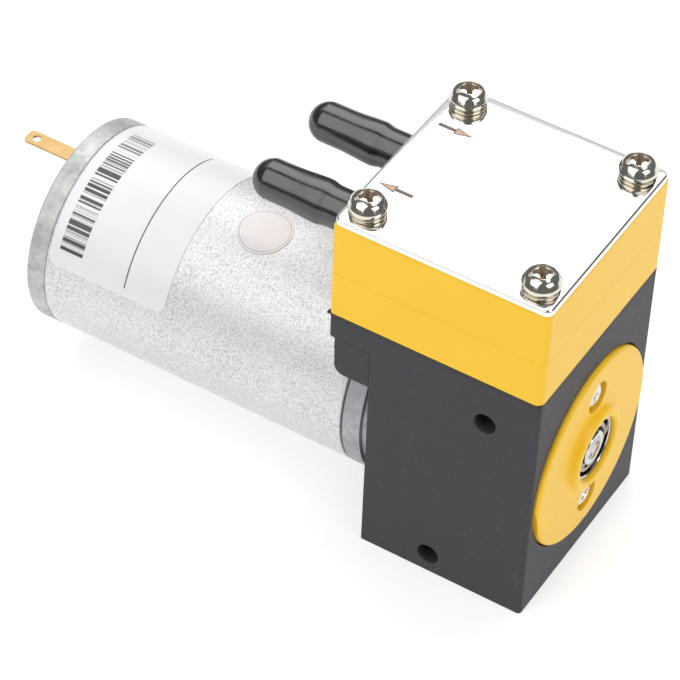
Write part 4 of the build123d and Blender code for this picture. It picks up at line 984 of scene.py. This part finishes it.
@dataclass
class FrontCover(Assembly):
    """Yellow bearing cover, its two screws, the open ball bearing and the shaft end."""

    label: str = "front cover"
    shaft_height: float = 24.6
    front: float = -16.8
    seat: float = -13.8
    back: float = -12.5
    disc_radius: float = 18.5
    spigot_radius: float = 16.45
    boss_front: float = -18.1
    boss_radius: float = 8.0
    opening: float = 6.0
    bearing_front: float = -17.3
    pocket_radius: float = 6.55
    screw_circle: float = 12.0
    screw_pocket: float = 3.0
    screw_head: float = 2.8
    screw_height: float = 2.3
    pocket_floor: float = -14.2
    dimples: tuple[Place, ...] = ((0.53, 25.52), (-1.37, 24.12))
    gate_turn: float = -11.5
    gate_half: float = 3.9
    gate_reach: float = 18.22

    @property
    def centre(self) -> Place:
        """Where the shaft line's own zero lies."""
        return (0, 0, self.shaft_height)

    def build(self) -> None:
        """Build and dress the cover and what it holds."""
        self.cover()
        self.screws()
        self.bearing()
        self.shaft()

    def cover(self) -> None:
        """Turned cover with rounded boss, screw pockets and a gate mark at its rim."""
        line = eased(
            [
                (self.boss_front, self.opening, 0.7),
                (self.boss_front, self.boss_radius - 0.25, 1.05),
                (self.front, self.boss_radius + 0.35, 0.6),
                (self.front, self.disc_radius, 0.75),
                (self.seat, self.disc_radius, 0.15),
                (self.seat, self.spigot_radius, 0.1),
                (self.back, self.spigot_radius, 0.2),
                (self.back, self.pocket_radius, 0.2),
                (self.bearing_front, self.pocket_radius, 0.0),
                (self.bearing_front, self.opening, 0.0),
            ],
            closed=True,
            steps=5,
        )
        cover = turned("front_cover", line, self.centre, steps=128)
        for side in (-1, 1):
            z = self.shaft_height + side * self.screw_circle
            pocket = rod("pocket", (0, self.front - 1, z), (0, self.pocket_floor, z), self.screw_pocket, sides=64)
            cut(cover, pocket, rod("hole", (0, self.front - 1, z), (0, self.back + 1, z), 1.55, sides=32))
        gate = block("gate", (-20.0, -17.2, -self.gate_half), (-self.gate_reach, -15.6, self.gate_half))
        gate.rotation_euler = (0.0, math.radians(self.gate_turn), 0.0)
        gate.location = mm(self.centre)
        pick(gate)
        cut(cover, settle("gate"))
        soften(cover, 0.14, 3, 40)
        self.fit(cover, YELLOW, Body.FRAME, ["bearing_cover"], "cover_plastic")

    def screws(self) -> None:
        """Two small pan head screws with cross recesses, heads to the front."""
        for name, side, turn in (("upper_cover_screw", 1, 20), ("lower_cover_screw", -1, -32)):
            z = self.shaft_height + side * self.screw_circle
            line = eased(
                [
                    (-self.screw_height, 0, 0),
                    (-self.screw_height, 1.7, 0.9),
                    (-self.screw_height + 0.5, self.screw_head, 0.6),
                    (0, self.screw_head, 0.15),
                    (0, 1.5, 0.1),
                    (5.6, 1.5, 0.4),
                    (5.9, 0, 0),
                ],
                steps=4,
            )
            screw = turned(name, line, (0, self.pocket_floor, z), steps=48)
            for angle in (turn, turn + 90):
                bar = block("recess", (-1.45, -3.0, -0.32), (1.45, -1.1, 0.32))
                choose(bar, "FACE", lambda middle, facing: facing.y > 0.9)
                bpy.ops.transform.resize(value=(0.3, 1.0, 0.5), center_override=(0.0, -1.1 * MM, 0.0))
                bpy.ops.object.mode_set(mode="OBJECT")
                bar.rotation_euler = (0.0, math.radians(angle), 0.0)
                bar.location = mm((0, self.pocket_floor, z))
                pick(bar)
                cut(screw, settle("recess"))
            soften(screw, 0.06, 2, 40)
            self.fit(screw, CHROME, Body.FRAME, ["cover_screws"], "screw_steel")

    def bearing(self) -> None:
        """Outer and inner rings with their ball grooves."""
        for name, node, low, high, body in (
            ("bearing_outer", "bearing_outer_ring", 5.3, 6.5, Body.FRAME),
            ("bearing_inner", "bearing_inner_ring", 2.025, 3.2, Body.ROTOR),
        ):
            ring = turned(name, self.ring_section(low, high), self.centre, steps=96)
            smooth(ring, 40)
            self.fit(ring, BEARING_STEEL, body, [node], "bearing_steel")

    @staticmethod
    def ring_section(low: float, high: float) -> list[tuple[float, float]]:
        """Section of one bearing ring, with the groove on the side of the balls."""
        start, end, middle, balls, groove = -17.3, -13.0, -15.5, 4.25, 1.18
        side = high if high < balls else low
        half = math.sqrt(groove**2 - (balls - side) ** 2)
        outer = low if side == high else high
        sign = 1 if side == high else -1
        line = [(start, outer + sign * 0.2), (start, side - sign * 0.15), (start + 0.15, side), (middle - half, side)]
        for step in range(1, 8):
            along = -half + 2 * half * step / 8
            line.append((middle + along, balls - sign * math.sqrt(groove**2 - along**2)))
        line += [(middle + half, side), (end - 0.15, side), (end, side - sign * 0.15), (end, outer + sign * 0.2)]
        line += [(end - 0.2, outer), (start + 0.2, outer), line[0]]
        return line

    def shaft(self) -> None:
        """Motor shaft with chamfered ends and two small dimples in its front."""
        line = [(-17.4, 0), (-17.4, 1.75), (-17.2, 2.0)]
        line += [(86.9, 2.0), (87.2, 1.7), (87.2, 0)]
        shaft = turned("shaft", line, self.centre, steps=64)
        for x, z in self.dimples:
            cut(shaft, rod("dimple", (x, -17.6, z), (x, -16.9, z), 0.5, 0.36, sides=24))
        smooth(shaft, 40)
        self.fit(shaft, SHAFT_STEEL, Body.ROTOR, ["motor_shaft"], "shaft_steel")


@dataclass
class Head(Assembly):
    """Yellow head in two halves, with the rubber edge under it and two hose barbs behind."""

    label: str = "head"
    half: float = 20.0
    centre_y: float = 4.0
    rubber_top: float = 50.5
    seam: float = 59.8
    top: float = 70.4
    near_corner: float = 1.3
    corner: float = 0.65
    screw_half: float = 16.0
    port_x: float = 8.7
    port_z: float = 62.3
    barb_length: float = 14.0

    def build(self) -> None:
        """Build and dress the two halves."""
        self.lower()
        self.upper()

    def square(self, name: str, low: float, high: float) -> bpy.types.Object:
        """The head's square outline between two heights."""
        form = block(name, (-self.half, self.centre_y - self.half, low), (self.half, self.centre_y + self.half, high))
        front = self.centre_y - self.half
        round_edges(form, self.near_corner, lambda middle, way: abs(way.z) > 0.9 and middle.x < 0 and middle.y < front + 0.1, 8)
        round_edges(form, self.corner, lambda middle, way: abs(way.z) > 0.9 and self.is_square(middle), 6)
        return form

    def is_square(self, middle: Vector) -> bool:
        """Whether an upright edge is one of the outline's corners that are still square."""
        across, along = abs(middle.x), abs(middle.y - self.centre_y)
        return min(across, along) > self.half - 0.01

    def screw_holes(self, low: float, high: float) -> list[bpy.types.Object]:
        """Bodies of the four screw holes."""
        holes = []
        for x in (-self.screw_half, self.screw_half):
            for y in (self.centre_y - self.screw_half, self.centre_y + self.screw_half):
                holes.append(rod("screw_hole", (x, y, low), (x, y, high), 1.8, sides=32))
        return holes

    def well(self, x: float, radius: float, low: float, high: float) -> bpy.types.Object:
        """Body of one round hollow of the head."""
        return rod("well", (x, self.centre_y, low), (x, self.centre_y, high), radius, sides=64)

    def lower(self) -> None:
        """Valve plate: dish, inlet pocket, valve ports and seal grooves."""
        plate = self.square("head_lower", self.rubber_top, self.seam)
        tools = [self.well(0, 14.0, self.rubber_top - 1, 52.9), self.well(self.port_x, 5.2, 58.2, self.seam + 1)]
        for x in (-self.port_x, self.port_x):
            for step in range(6):
                turn = math.radians(60 * step)
                place = (x + 2.601 * math.cos(turn), self.centre_y + 2.601 * math.sin(turn))
                tools.append(rod("port", (*place, 51.5), (*place, self.seam + 1), 0.7, sides=20))
            section = [(-1.1, 6.1), (-1.1, 7.5), (1, 7.5), (1, 6.1), (-1.1, 6.1)]
            tools.append(turned("groove", section, (x, self.centre_y, self.seam), Line.UPRIGHT, 64))
        cut(plate, *tools, *self.screw_holes(self.rubber_top - 1, self.seam + 1))
        soften(plate, 0.18, clamp=False)
        self.fit(plate, YELLOW, Body.FRAME, ["valve_plate"], "head_plastic")

    def upper(self) -> None:
        """Head cover: outlet pocket, plenums, port bores and two hose barbs."""
        cover = self.square("head_upper", self.seam, self.top)
        for x in (-self.port_x, self.port_x):
            start = self.centre_y + self.half
            line = [(-1, 0), (-1, 2.15), (5, 2.15)]
            for step in range(3):
                line += [(5 + 3 * step, 2.5), (5.3 + 3 * step, 2.5), (8 + 3 * step, 2.0)]
            line.append((self.barb_length, 0))
            join(cover, turned("barb", line, (x, start, self.port_z), steps=48))
        tools = [self.well(-self.port_x, 5.2, self.seam - 1, 61.1)]
        for x in (-self.port_x, self.port_x):
            tools.append(self.well(x, 3.0, self.seam - 1, 64.0))
            end = self.centre_y + self.half + self.barb_length + 1
            tools.append(rod("bore", (x, self.centre_y, self.port_z), (x, end, self.port_z), 1.4, sides=32))
        cut(cover, *tools, *self.screw_holes(self.seam - 1, self.top + 1))
        round_edges(cover, 0.5, lambda middle, way: middle.z > self.top - 0.01 and self.on_rim(middle), 4)
        close_gaps(cover)
        soften(cover, 0.12)
        self.fit(cover, YELLOW, Body.FRAME, ["head_cover"], "head_plastic")

    def on_rim(self, middle: Vector) -> bool:
        """Whether a place lies on the head's outer outline."""
        across, along = abs(middle.x), abs(middle.y - self.centre_y)
        return max(across, along) > self.half - 0.8


@dataclass
class TopPlate(Assembly):
    """Polished steel plate with its etched arrows, and the four screws on spring washers."""

    label: str = "top plate"
    half: float = 19.95
    centre_y: float = 4.0
    low: float = 70.4
    top: float = 71.9
    corner: float = 1.3
    roll: float = 0.42
    slope_width: float = 1.9
    slope_drop: float = 0.33
    screw_half: float = 16.0
    washer_height: float = 0.8
    washer_radius: float = 3.2
    head_radius: float = 3.3
    head_height: float = 2.8
    recess_half: float = 1.9
    recess_floor: float = 0.9
    arrow_x: float = 8.95
    arrow_length: float = 6.65
    arrow_neck: float = 3.2
    arrow_half: float = 0.95
    stem_half: float = 0.42
    screw_turns: tuple[float, ...] = (32.0, 46.0, 20.0, 32.0)
    washer_turns: tuple[float, ...] = (0.0, 14.0, -8.0, 6.0)

    def build(self) -> None:
        """Build and dress the plate, the arrows, the screws and the washers."""
        self.plate()
        self.arrow("inlet_arrow", self.arrow_x, 21.5, -1)
        self.arrow("outlet_arrow", -self.arrow_x, 15.7, 1)
        self.fasteners()

    def plate(self) -> None:
        """Sheet whose upper face slopes to a rolled rim, with four screw holes."""
        y, rim = self.centre_y, self.top - self.slope_drop
        plate = block("steel_plate", (-self.half, y - self.half, self.low), (self.half, y + self.half, rim))
        choose(plate, "FACE", lambda middle, facing: facing.z > 0.9)
        bpy.ops.mesh.inset(thickness=self.slope_width * MM)
        bpy.ops.transform.translate(value=mm((0, 0, self.slope_drop)))
        bpy.ops.object.mode_set(mode="OBJECT")
        round_edges(plate, 0.3, lambda middle, way: middle.z > self.top - 0.01, 4)
        round_edges(plate, self.corner, lambda middle, way: abs(way.z) > 0.9, 10)
        flat = self.half - self.slope_width
        round_edges(
            plate,
            self.roll,
            lambda middle, way: abs(middle.z - rim) < 0.01 and abs(way.z) < 0.1 and self.reach(middle) > flat + 0.9,
            6,
        )
        holes = []
        for x in (-self.screw_half, self.screw_half):
            for place in (y - self.screw_half, y + self.screw_half):
                holes.append(rod("hole", (x, place, self.low - 1), (x, place, self.top + 1), 1.8, sides=40))
        cut(plate, *holes)
        smooth(plate, 30)
        self.fit(plate, PLATE_STEEL, Body.FRAME, ["top_plate"], "polished_steel")

    def reach(self, middle: Vector) -> float:
        """How far a place lies from the plate's middle, across or along."""
        return max(abs(middle.x), abs(middle.y - self.centre_y))

    def arrow(self, name: str, x: float, tail: float, way: int) -> None:
        """Etched arrow along the shaft's direction: a dark outline and a paler head on it.

        Args:
            name: the piece's name.
            x: its place across the head.
            tail: where its stem starts along the shaft.
            way: 1 where it points to the rear, -1 where it points to the front.
        """
        low, high = self.top + 0.002, self.top + 0.01
        neck, tip = tail + way * self.arrow_neck, tail + way * self.arrow_length
        outline = self.barb(name, (x, tail, neck, tip), (self.stem_half, self.arrow_half), (low, high), way)
        self.fit(outline, ETCHED_DARK, Body.FRAME, slot="polished_steel")
        near, far = neck + way * 0.25, tip - way * 0.75
        fill = self.barb(name + "_head", (x, near - way * 0.05, near, far), (0.5, 0.62), (high + 0.002, high + 0.008), way)
        self.fit(fill, ETCHED, Body.FRAME, slot="polished_steel")

    def barb(self, name: str, places: Place, halves: Place, heights: Place, way: int) -> bpy.types.Object:
        """A flat arrow: a stem whose end is widened and drawn out to a point.

        Args:
            name: the piece's name.
            places: across, then tail, neck and tip along the shaft.
            halves: half widths of the stem and of the head.
            heights: under and upper side.
            way: 1 where it points to the rear, -1 where it points to the front.

        Returns:
            The arrow.
        """
        x, tail, neck, tip = places
        stem, head = halves
        low, high = heights
        piece = block(name, (x - stem, min(tail, neck), low), (x + stem, max(tail, neck), high))
        pull_faces(piece, (0, way * 0.01, 0), lambda place, facing: facing.y * way > 0.9)
        choose(piece, "FACE", lambda place, facing: facing.y * way > 0.9)
        bpy.ops.transform.resize(value=(head / stem, 1.0, 1.0), center_override=mm((x, neck, high)))
        bpy.ops.mesh.extrude_region_move(TRANSFORM_OT_translate={"value": mm((0, tip - neck, 0))})
        bpy.ops.transform.resize(value=(0.02, 1.0, 1.0), center_override=mm((x, tip, high)))
        bpy.ops.object.mode_set(mode="OBJECT")
        return piece

    def fasteners(self) -> None:
        """Four domed screws with deep cross recesses, each on a split spring washer."""
        screw = self.screw()
        washer = self.washer()
        places = [
            (x, self.centre_y + y)
            for x in (-self.screw_half, self.screw_half)
            for y in (-self.screw_half, self.screw_half)
        ]
        turns = zip(places, self.screw_turns, self.washer_turns)
        for number, (place, turn, facing) in enumerate(turns, 1):
            copy = repeat(screw, f"head_screw_{number}", (*place, self.top + self.washer_height), turn)
            self.fit(copy, CHROME, Body.FRAME, ["head_screws"], "screw_steel")
            ring = repeat(washer, f"spring_washer_{number}", (*place, self.top), facing)
            self.fit(ring, SPRING_STEEL, Body.FRAME, ["spring_washers"], "washer_steel")
        bpy.data.objects.remove(screw)
        bpy.data.objects.remove(washer)

    def screw(self) -> bpy.types.Object:
        """One screw with its seat at the frame's origin, with painted shade in its cross recess."""
        line = eased(
            [
                (-30.6, 0, 0),
                (-30.6, 1.2, 0.3),
                (-30.0, 1.75, 0.2),
                (0, 1.75, 0.1),
                (0, self.head_radius - 0.25, 0.1),
                (0.45, self.head_radius, 0.35),
                (0.95, self.head_radius, 0.8),
                (self.head_height - 0.62, self.head_radius - 0.7, 1.5),
                (self.head_height, 1.3, 2.2),
                (self.head_height, 0, 0),
            ],
            steps=7,
        )
        screw = turned("screw", line, (0, 0, 0), Line.UPRIGHT, 64)
        for angle in (0, 90):
            bar = block("recess", (-self.recess_half, -0.55, self.recess_floor), (self.recess_half, 0.55, 3.2))
            choose(bar, "FACE", lambda middle, facing: facing.z < -0.9)
            bpy.ops.transform.resize(value=(0.4, 0.55, 1.0), center_override=mm((0, 0, self.recess_floor)))
            bpy.ops.object.mode_set(mode="OBJECT")
            bar.rotation_euler = (0.0, 0.0, math.radians(angle))
            pick(bar)
            cut(screw, settle("recess"))
        cut(screw, rod("recess_middle", (0, 0, 1.0), (0, 0, 3.2), 0.5, 1.15, sides=24))
        soften(screw, 0.07, 3, 40)
        # The faces inside the cross recess take the second material: painted shade in the recess.
        screw.data.materials.append(CHROME.material())
        screw.data.materials.append(RECESS_PAINTED_SHADE.material())
        for face in screw.data.polygons:
            place = face.center / MM
            if Vector((place.x, place.y)).length < self.recess_half and self.recess_floor - 0.1 < place.z < self.head_height - 0.3:
                face.material_index = 1
        return screw

    def washer(self) -> bpy.types.Object:
        """One split spring washer with its seat at the frame's origin."""
        rim = self.washer_radius
        line = eased([(0, 1.85, 0.1), (0.76, 1.85, 0.1), (0.8, rim, 0.15), (0, rim, 0.15)], closed=True, steps=2)
        washer = turned("washer", line, (0, 0, 0), Line.UPRIGHT, 64)
        gap = block("gap", (-0.3, -3.4, -1), (0.3, -1.0, 2))
        choose(gap, "FACE", lambda middle, facing: facing.z > 0.9)
        bpy.ops.transform.translate(value=mm((0.35, 0, 0)))
        bpy.ops.object.mode_set(mode="OBJECT")
        cut(washer, gap)
        soften(washer, 0.05, 2, 40)
        return washer


@dataclass
class PortCaps(Assembly):
    """Two soft caps pushed over the hose barbs."""

    label: str = "port caps"
    port_x: float = 8.7
    port_z: float = 62.3
    start: float = 24.3
    length: float = 21.6
    neck_radius: float = 3.65
    neck_length: float = 6.2
    crest_radius: float = 4.0
    crest: float = 8.3
    bulb: float = 14.6
    bulb_radius: float = 3.65
    bore: float = 2.65
    bore_length: float = 14.6

    def build(self) -> None:
        """Build and dress both caps."""
        dome = self.length - self.bulb_radius
        line = [(0.0, self.bore), (0.0, self.neck_radius - 0.25), (0.1, self.neck_radius - 0.07), (0.3, self.neck_radius)]
        line += self.swelling(self.neck_length, self.crest, self.neck_radius, self.crest_radius)
        line += self.swelling(self.crest, self.bulb, self.crest_radius, self.bulb_radius)[1:]
        for step in range(1, 17):
            turn = math.pi / 2 * step / 16
            line.append((dome + self.bulb_radius * math.sin(turn), self.bulb_radius * math.cos(turn)))
        line[-1] = (self.length, 0.0)
        line += [(self.bore_length, 0.0), (self.bore_length - 0.4, self.bore - 0.4), (self.bore_length - 0.9, self.bore), line[0]]
        for name, side, node, body in (
            ("outlet_port_cap", -1, "outlet_cap", Body.OUTLET_CAP),
            ("inlet_port_cap", 1, "inlet_cap", Body.INLET_CAP),
        ):
            cap = turned(name + "_piece", line, (side * self.port_x, self.start, self.port_z), steps=72)
            smooth(cap, 50)
            self.fit(cap, CAP_RUBBER, body, [node], "cap_rubber")

    @staticmethod
    def swelling(start: float, end: float, first: float, last: float) -> list[tuple[float, float]]:
        """A soft change of radius between two places along the cap.

        Args:
            start: where the change begins.
            end: where it ends.
            first: the radius at the start.
            last: the radius at the end.

        Returns:
            The places and radii between, both ends included.
        """
        line = []
        for step in range(9):
            share = step / 8
            rise = share * share * (3 - 2 * share)
            line.append((start + (end - start) * share, first + (last - first) * rise))
        return line


@dataclass
class MotorShell(Assembly):
    """Motor bracket, painted can, rear cap, terminals, label and sticker."""

    label: str = "motor shell"
    shaft_height: float = 24.6
    radius: float = 19.25
    bracket_front: float = 16.0
    bracket_rear: float = 21.2
    can_front: float = 21.6
    can_rear: float = 83.1
    inner_radius: float = 18.05
    cap_radius: float = 19.35
    cap_rear: float = 86.9
    boss_rear: float = 88.5
    terminal_radius: float = 13.2
    tab_rear: float = 99.9

    @property
    def centre(self) -> Place:
        """Where the shaft line's own zero lies."""
        return (0, 0, self.shaft_height)

    def build(self) -> None:
        """Build and dress the motor's outer pieces."""
        self.bracket()
        self.can()
        self.rear_cap()
        self.terminals()
        self.label_film()
        self.sticker()

    def bracket(self) -> None:
        """Front bracket with its centring boss, stepped rim and crimp marks."""
        line = eased(
            [
                (12.7, 4.025, 0.1),
                (12.7, 6.5, 0.3),
                (self.bracket_front, 6.5, 0.2),
                (self.bracket_front, 18.55, 0.25),
                (17.5, 18.55, 0.12),
                (17.7, self.radius, 0.15),
                (self.bracket_rear, self.radius, 0.22),
                (self.bracket_rear, 18.0, 0.0),
                (24.1, 18.0, 0.2),
                (24.1, 16.5, 0.1),
                (18.6, 16.5, 0.3),
                (18.6, 4.025, 0.0),
            ],
            closed=True,
            steps=3,
        )
        bracket = turned("front_bracket", line, self.centre, steps=128)
        tools = [rod("hole", (x, 15, self.shaft_height), (x, 19.1, self.shaft_height), 1.55, sides=32) for x in (-12.5, 12.5)]
        for angle in (84, 104, 256, 276):
            turn = math.radians(angle)
            place = (-19.6 * math.sin(turn), self.bracket_front, self.shaft_height + 19.6 * math.cos(turn))
            tools.append(rod("crimp", place, (place[0], 17.2, place[2]), 1.5, 1.1, sides=20))
        cut(bracket, *tools)
        soften(bracket, 0.08, 2, 40)
        self.fit(bracket, BRACKET_ZINC, Body.FRAME, ["motor_bracket"], "bracket_zinc")

    def can(self) -> None:
        """Drawn can with rolled front and rear edges."""
        line = eased(
            [
                (self.can_front, self.inner_radius, 0.2),
                (self.can_front, self.radius, 0.3),
                (self.can_rear, self.radius, 0.25),
                (self.can_rear, self.inner_radius, 0.2),
            ],
            closed=True,
            steps=4,
        )
        can = turned("painted_can", line, self.centre, steps=144)
        smooth(can, 40)
        self.fit(can, MOTOR_PAINT, Body.FRAME, ["motor_can"], "motor_paint")

    def rear_cap(self) -> None:
        """Rear cap with its rim ledges, bush boss and terminal windows."""
        line = eased(
            [
                (80.6, 16.5, 0.1),
                (80.6, 18.0, 0.2),
                (self.can_rear, 18.0, 0.0),
                (self.can_rear, self.cap_radius, 0.3),
                (self.cap_rear, self.cap_radius, 0.4),
                (self.cap_rear, 5.5, 0.35),
                (self.boss_rear, 5.5, 0.5),
                (self.boss_rear, 3.4, 0.3),
                (self.boss_rear - 0.5, 3.2, 0.1),
                (self.boss_rear - 0.5, 0.0, 0.0),
            ],
            steps=4,
        )
        line += [(87.5, 0.0), (87.5, 4.025), (82.5, 4.025), (82.5, 5.2), (85.1, 5.2), (85.1, 16.5), line[0]]
        cap = turned("rear_cover", line, self.centre, steps=144)
        tools = []
        for side in (-1, 1):
            z = self.shaft_height + side * self.terminal_radius
            tools.append(block("window", (-3.05, 84, z - 1.55), (3.05, 88, z + 1.55)))
        for side in (-1, 1):
            section = [(85.95, 19.05), (85.95, 21.0), (88.0, 21.0), (88.0, 19.05), (85.95, 19.05)]
            ledge = turned("ledge", section, self.centre, steps=144)
            left, right = sorted((side * 10, side * 22))
            span = block("span", (left, 85, self.shaft_height + 2.9), (right, 89, self.shaft_height + 11.9))
            join(ledge, span, how=Joining.COMMON)
            tools.append(ledge)
        cut(cap, *tools)
        for side in (-1, 1):
            for tilt in (-35, 35):
                turn = math.radians(90 * side + tilt)
                place = (11.5 * math.sin(turn), 86.0, self.shaft_height + 11.5 * math.cos(turn))
                cut(cap, rod("stake", place, (place[0], 88, place[2]), 0.9, 1.4, sides=32))
        close_gaps(cap)
        soften(cap, 0.1, 2, 40)
        self.fit(cap, ZINC, Body.FRAME, ["rear_cap"], "rear_cap_zinc")

    def terminals(self) -> None:
        """Two brass solder tabs with rounded tips and a hole."""
        tabs = []
        for side in (-1, 1):
            z = self.shaft_height + side * self.terminal_radius
            tab = block("tab", (-1.6, 80.3, z - 0.25), (1.6, self.tab_rear, z + 0.25))
            round_edges(tab, 0.85, lambda middle, way: abs(way.z) > 0.9 and middle.y > self.tab_rear - 0.1, 5)
            cut(tab, rod("hole", (0, 97.9, z - 1), (0, 97.9, z + 1), 0.8, sides=40))
            tabs.append(tab)
        piece = merge_pieces(tabs, "solder_tabs")
        soften(piece, 0.06, 2, 40)
        self.fit(piece, BRASS, Body.FRAME, ["terminals"], "terminal_brass")

    def wrapped(self, name: str, start: float, end: float, first: float, last: float, corner: float) -> bpy.types.Object:
        """Thin film wrapped round the can: a flat grid with rounded corners, rolled about the shaft.

        Args:
            name: the piece's name.
            start: front edge along the shaft.
            end: rear edge.
            first: angle of one side edge, in degrees from the top towards -X.
            last: angle of the other side edge.
            corner: corner radius.

        Returns:
            The film, with its thickness.
        """
        inner = self.radius + 0.02
        arc = math.radians(abs(last - first)) * inner
        flat = block(name, (-arc / 2, start, 0), (arc / 2, end, 0.1))
        round_edges(flat, corner, lambda middle, way: abs(way.z) > 0.9, 8)
        steps = max(8, int(arc / 0.6))
        for step in range(1, steps):
            slice_at(flat, (-arc / 2 + arc * step / steps, 0, 0), (1, 0, 0))
        middle = math.radians((first + last) / 2)
        for vertex in flat.data.vertices:
            turn = middle - vertex.co.x / (inner * MM)
            radius = inner * MM + vertex.co.z
            vertex.co = (
                -radius * math.sin(turn),
                vertex.co.y,
                self.shaft_height * MM + radius * math.cos(turn),
            )
        return flat

    def label_film(self) -> None:
        """Large label wrapped over the top of the can."""
        film = self.wrapped("wrapped_label", 58.2, 82.6, 73.0, -92.0, 2.0)
        smooth(film, 40)
        self.fit(film, LABEL, Body.FRAME, ["motor_label"], "label_paper")

    def sticker(self) -> None:
        """Small round sticker beside the label."""
        half = math.degrees(5.0 / self.radius)
        film = self.wrapped("round_sticker", 42.5, 52.5, 8.5 + half, 8.5 - half, 4.99)
        smooth(film, 40)
        self.fit(film, STICKER, Body.FRAME, ["inspection_sticker"], "sticker_film")


@dataclass
class InnerWorks(Assembly):
    """The solids inside, which keep their shapes and get their finishes."""

    label: str = "inner works"
    nodes: dict[str, bpy.types.Object] = field(default_factory=dict)
    finishes: dict[str, Finish] = field(
        default_factory=lambda: {
            "bearing_balls": BEARING_STEEL,
            "bearing_cage": CAGE_STEEL,
            "eccentric": TURNED_STEEL,
            "counterweight": COUNTERWEIGHT,
            "set_screws": BLACK_STEEL,
            "connecting_rod": ALUMINIUM,
            "rod_bearing_outer_ring": BEARING_STEEL,
            "rod_bearing_inner_ring": BEARING_STEEL,
            "rod_bearing_seals": SEAL_RUBBER,
            "diaphragm": DIAPHRAGM_RUBBER,
            "pressure_disc": ALUMINIUM,
            "clamp_screw": CHROME,
            "inlet_valve_disc": VALVE_RUBBER,
            "outlet_valve_disc": VALVE_RUBBER,
            "seal_rings": SEAL_RUBBER,
            "motor_screws": BLACK_STEEL,
            "front_bush": BRONZE,
            "rear_bush": BRONZE,
            "thrust_washers": WHITE_PLASTIC,
            "magnets": FERRITE,
            "armature_core": CORE,
            "windings": WIRE,
            "commutator": COPPER,
            "brush_plate": BROWN_BOARD,
            "brushes": CARBON,
            "brush_arms": ARM_BRONZE,
        }
    )

    def build(self) -> None:
        """Give each inner solid its finish."""
        for name, finish in self.finishes.items():
            solid = self.nodes[name]
            solid.data.materials.clear()
            solid.data.materials.append(finish.material())
            self.made.append(name)


@dataclass
class Studio:
    """Pale floor, soft lights and the camera at the photograph's angle."""

    camera_place: Place = (-352.56147893, -172.36199224, 424.07282302)
    right: Place = (0.5287565807963944, -0.8482592506092104, 0.029541868938965987)
    down: Place = (-0.5841823309732155, -0.38895474204823366, -0.7123518883367216)
    forward: Place = (0.6157495289833415, 0.3594029109427094, -0.7012004457804489)
    focal_pixels: float = 3267.535
    photo_pixels: float = 680.0
    sensor: float = 36.0

    def build(self) -> None:
        """Build floor, lights, world and camera."""
        self.floor()
        self.world()
        self.lamp("right_panel", (0.65, 0.2, 0.9), (0.65, 0.2, 0.0), (1.1, 1.1), 1.9)
        self.lamp("back_panel", (1.2, 0.55, 1.0), (1.2, 0.55, 0.0), (2.2, 1.9), 0.62)
        self.lamp("left_panel", (-0.5, 0.3, 0.66), (0.0, 0.3, 0.06), (0.75, 0.98), 2.1)
        self.lamp("front_softbox", (-0.1, -0.9, 0.7), (0.0, 0.02, 0.05), (0.7, 0.7), 2.8)
        self.camera()
        bpy.context.scene.view_settings.view_transform = "Standard"

    def floor(self) -> None:
        """Wide pale floor under the pump, lit a little from below as a light table is."""
        deselect_all()
        bpy.ops.mesh.primitive_plane_add(size=3.0, location=(0.0, 0.0, -0.00002))
        floor = settle("studio_floor")
        desk = Desk("studio_floor")
        tone = desk.blend(desk.noise(60.0, 2.0), paint(190, 190, 190), paint(187, 187, 187))
        glow = {"Emission_Color": paint(255, 255, 255), "Emission_Strength": 0.6}
        floor.data.materials.append(desk.finish(Base_Color=tone, Roughness=0.85, **glow))

    def world(self) -> None:
        """Even dim surroundings."""
        world = bpy.data.worlds.new("studio_world")
        world.use_nodes = True
        shade = world.node_tree.nodes["Background"]
        shade.inputs["Color"].default_value = (1.0, 1.0, 1.0, 1.0)
        shade.inputs["Strength"].default_value = 0.16
        bpy.context.scene.world = world

    def lamp(self, name: str, place: Place, aim: Place, size: Place, glow: float) -> None:
        """Oblong soft box.

        Args:
            name: the lamp's name.
            place: where it stands, in metres.
            aim: the place that it faces.
            size: its width and height, in metres.
            glow: the brightness of its face, where white paper in full light is 1.
        """
        deselect_all()
        way = Vector(aim) - Vector(place)
        bpy.ops.object.light_add(type="AREA", location=place, rotation=way.to_track_quat("-Z", "Y").to_euler())
        lamp = bpy.context.active_object
        lamp.name = name
        lamp.data.shape = "RECTANGLE"
        lamp.data.size, lamp.data.size_y = size
        lamp.data.energy = glow * math.pi * size[0] * size[1]

    def camera(self) -> None:
        """Camera of the photograph: its place, its turn and its focal length."""
        lens = self.focal_pixels * self.sensor / self.photo_pixels
        data = bpy.data.cameras.new("photo_camera")
        data.sensor_width = self.sensor
        data.lens = lens
        data.clip_start = 0.01
        data.clip_end = 20.0
        camera = bpy.data.objects.new("photo_camera", data)
        columns = (Vector(self.right), -Vector(self.down), -Vector(self.forward))
        camera.matrix_world = Matrix.Translation(mm(self.camera_place)) @ Matrix(columns).transposed().to_4x4()
        bpy.context.scene.collection.objects.link(camera)
        bpy.context.scene.camera = camera


def main() -> None:
    """Load the frame, build every sub-assembly in order and report its pieces."""
    logging.basicConfig(level=logging.INFO, format="%(message)s")
    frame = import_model()
    assemblies = [CrankHousing(), FrontCover(), Head(), TopPlate(), PortCaps(), MotorShell(), InnerWorks(nodes=frame["nodes"])]
    for assembly in assemblies:
        assembly.build()
        assembly.report()
    Studio().build()
    deselect_all()


if __name__ == "__main__":
    main()
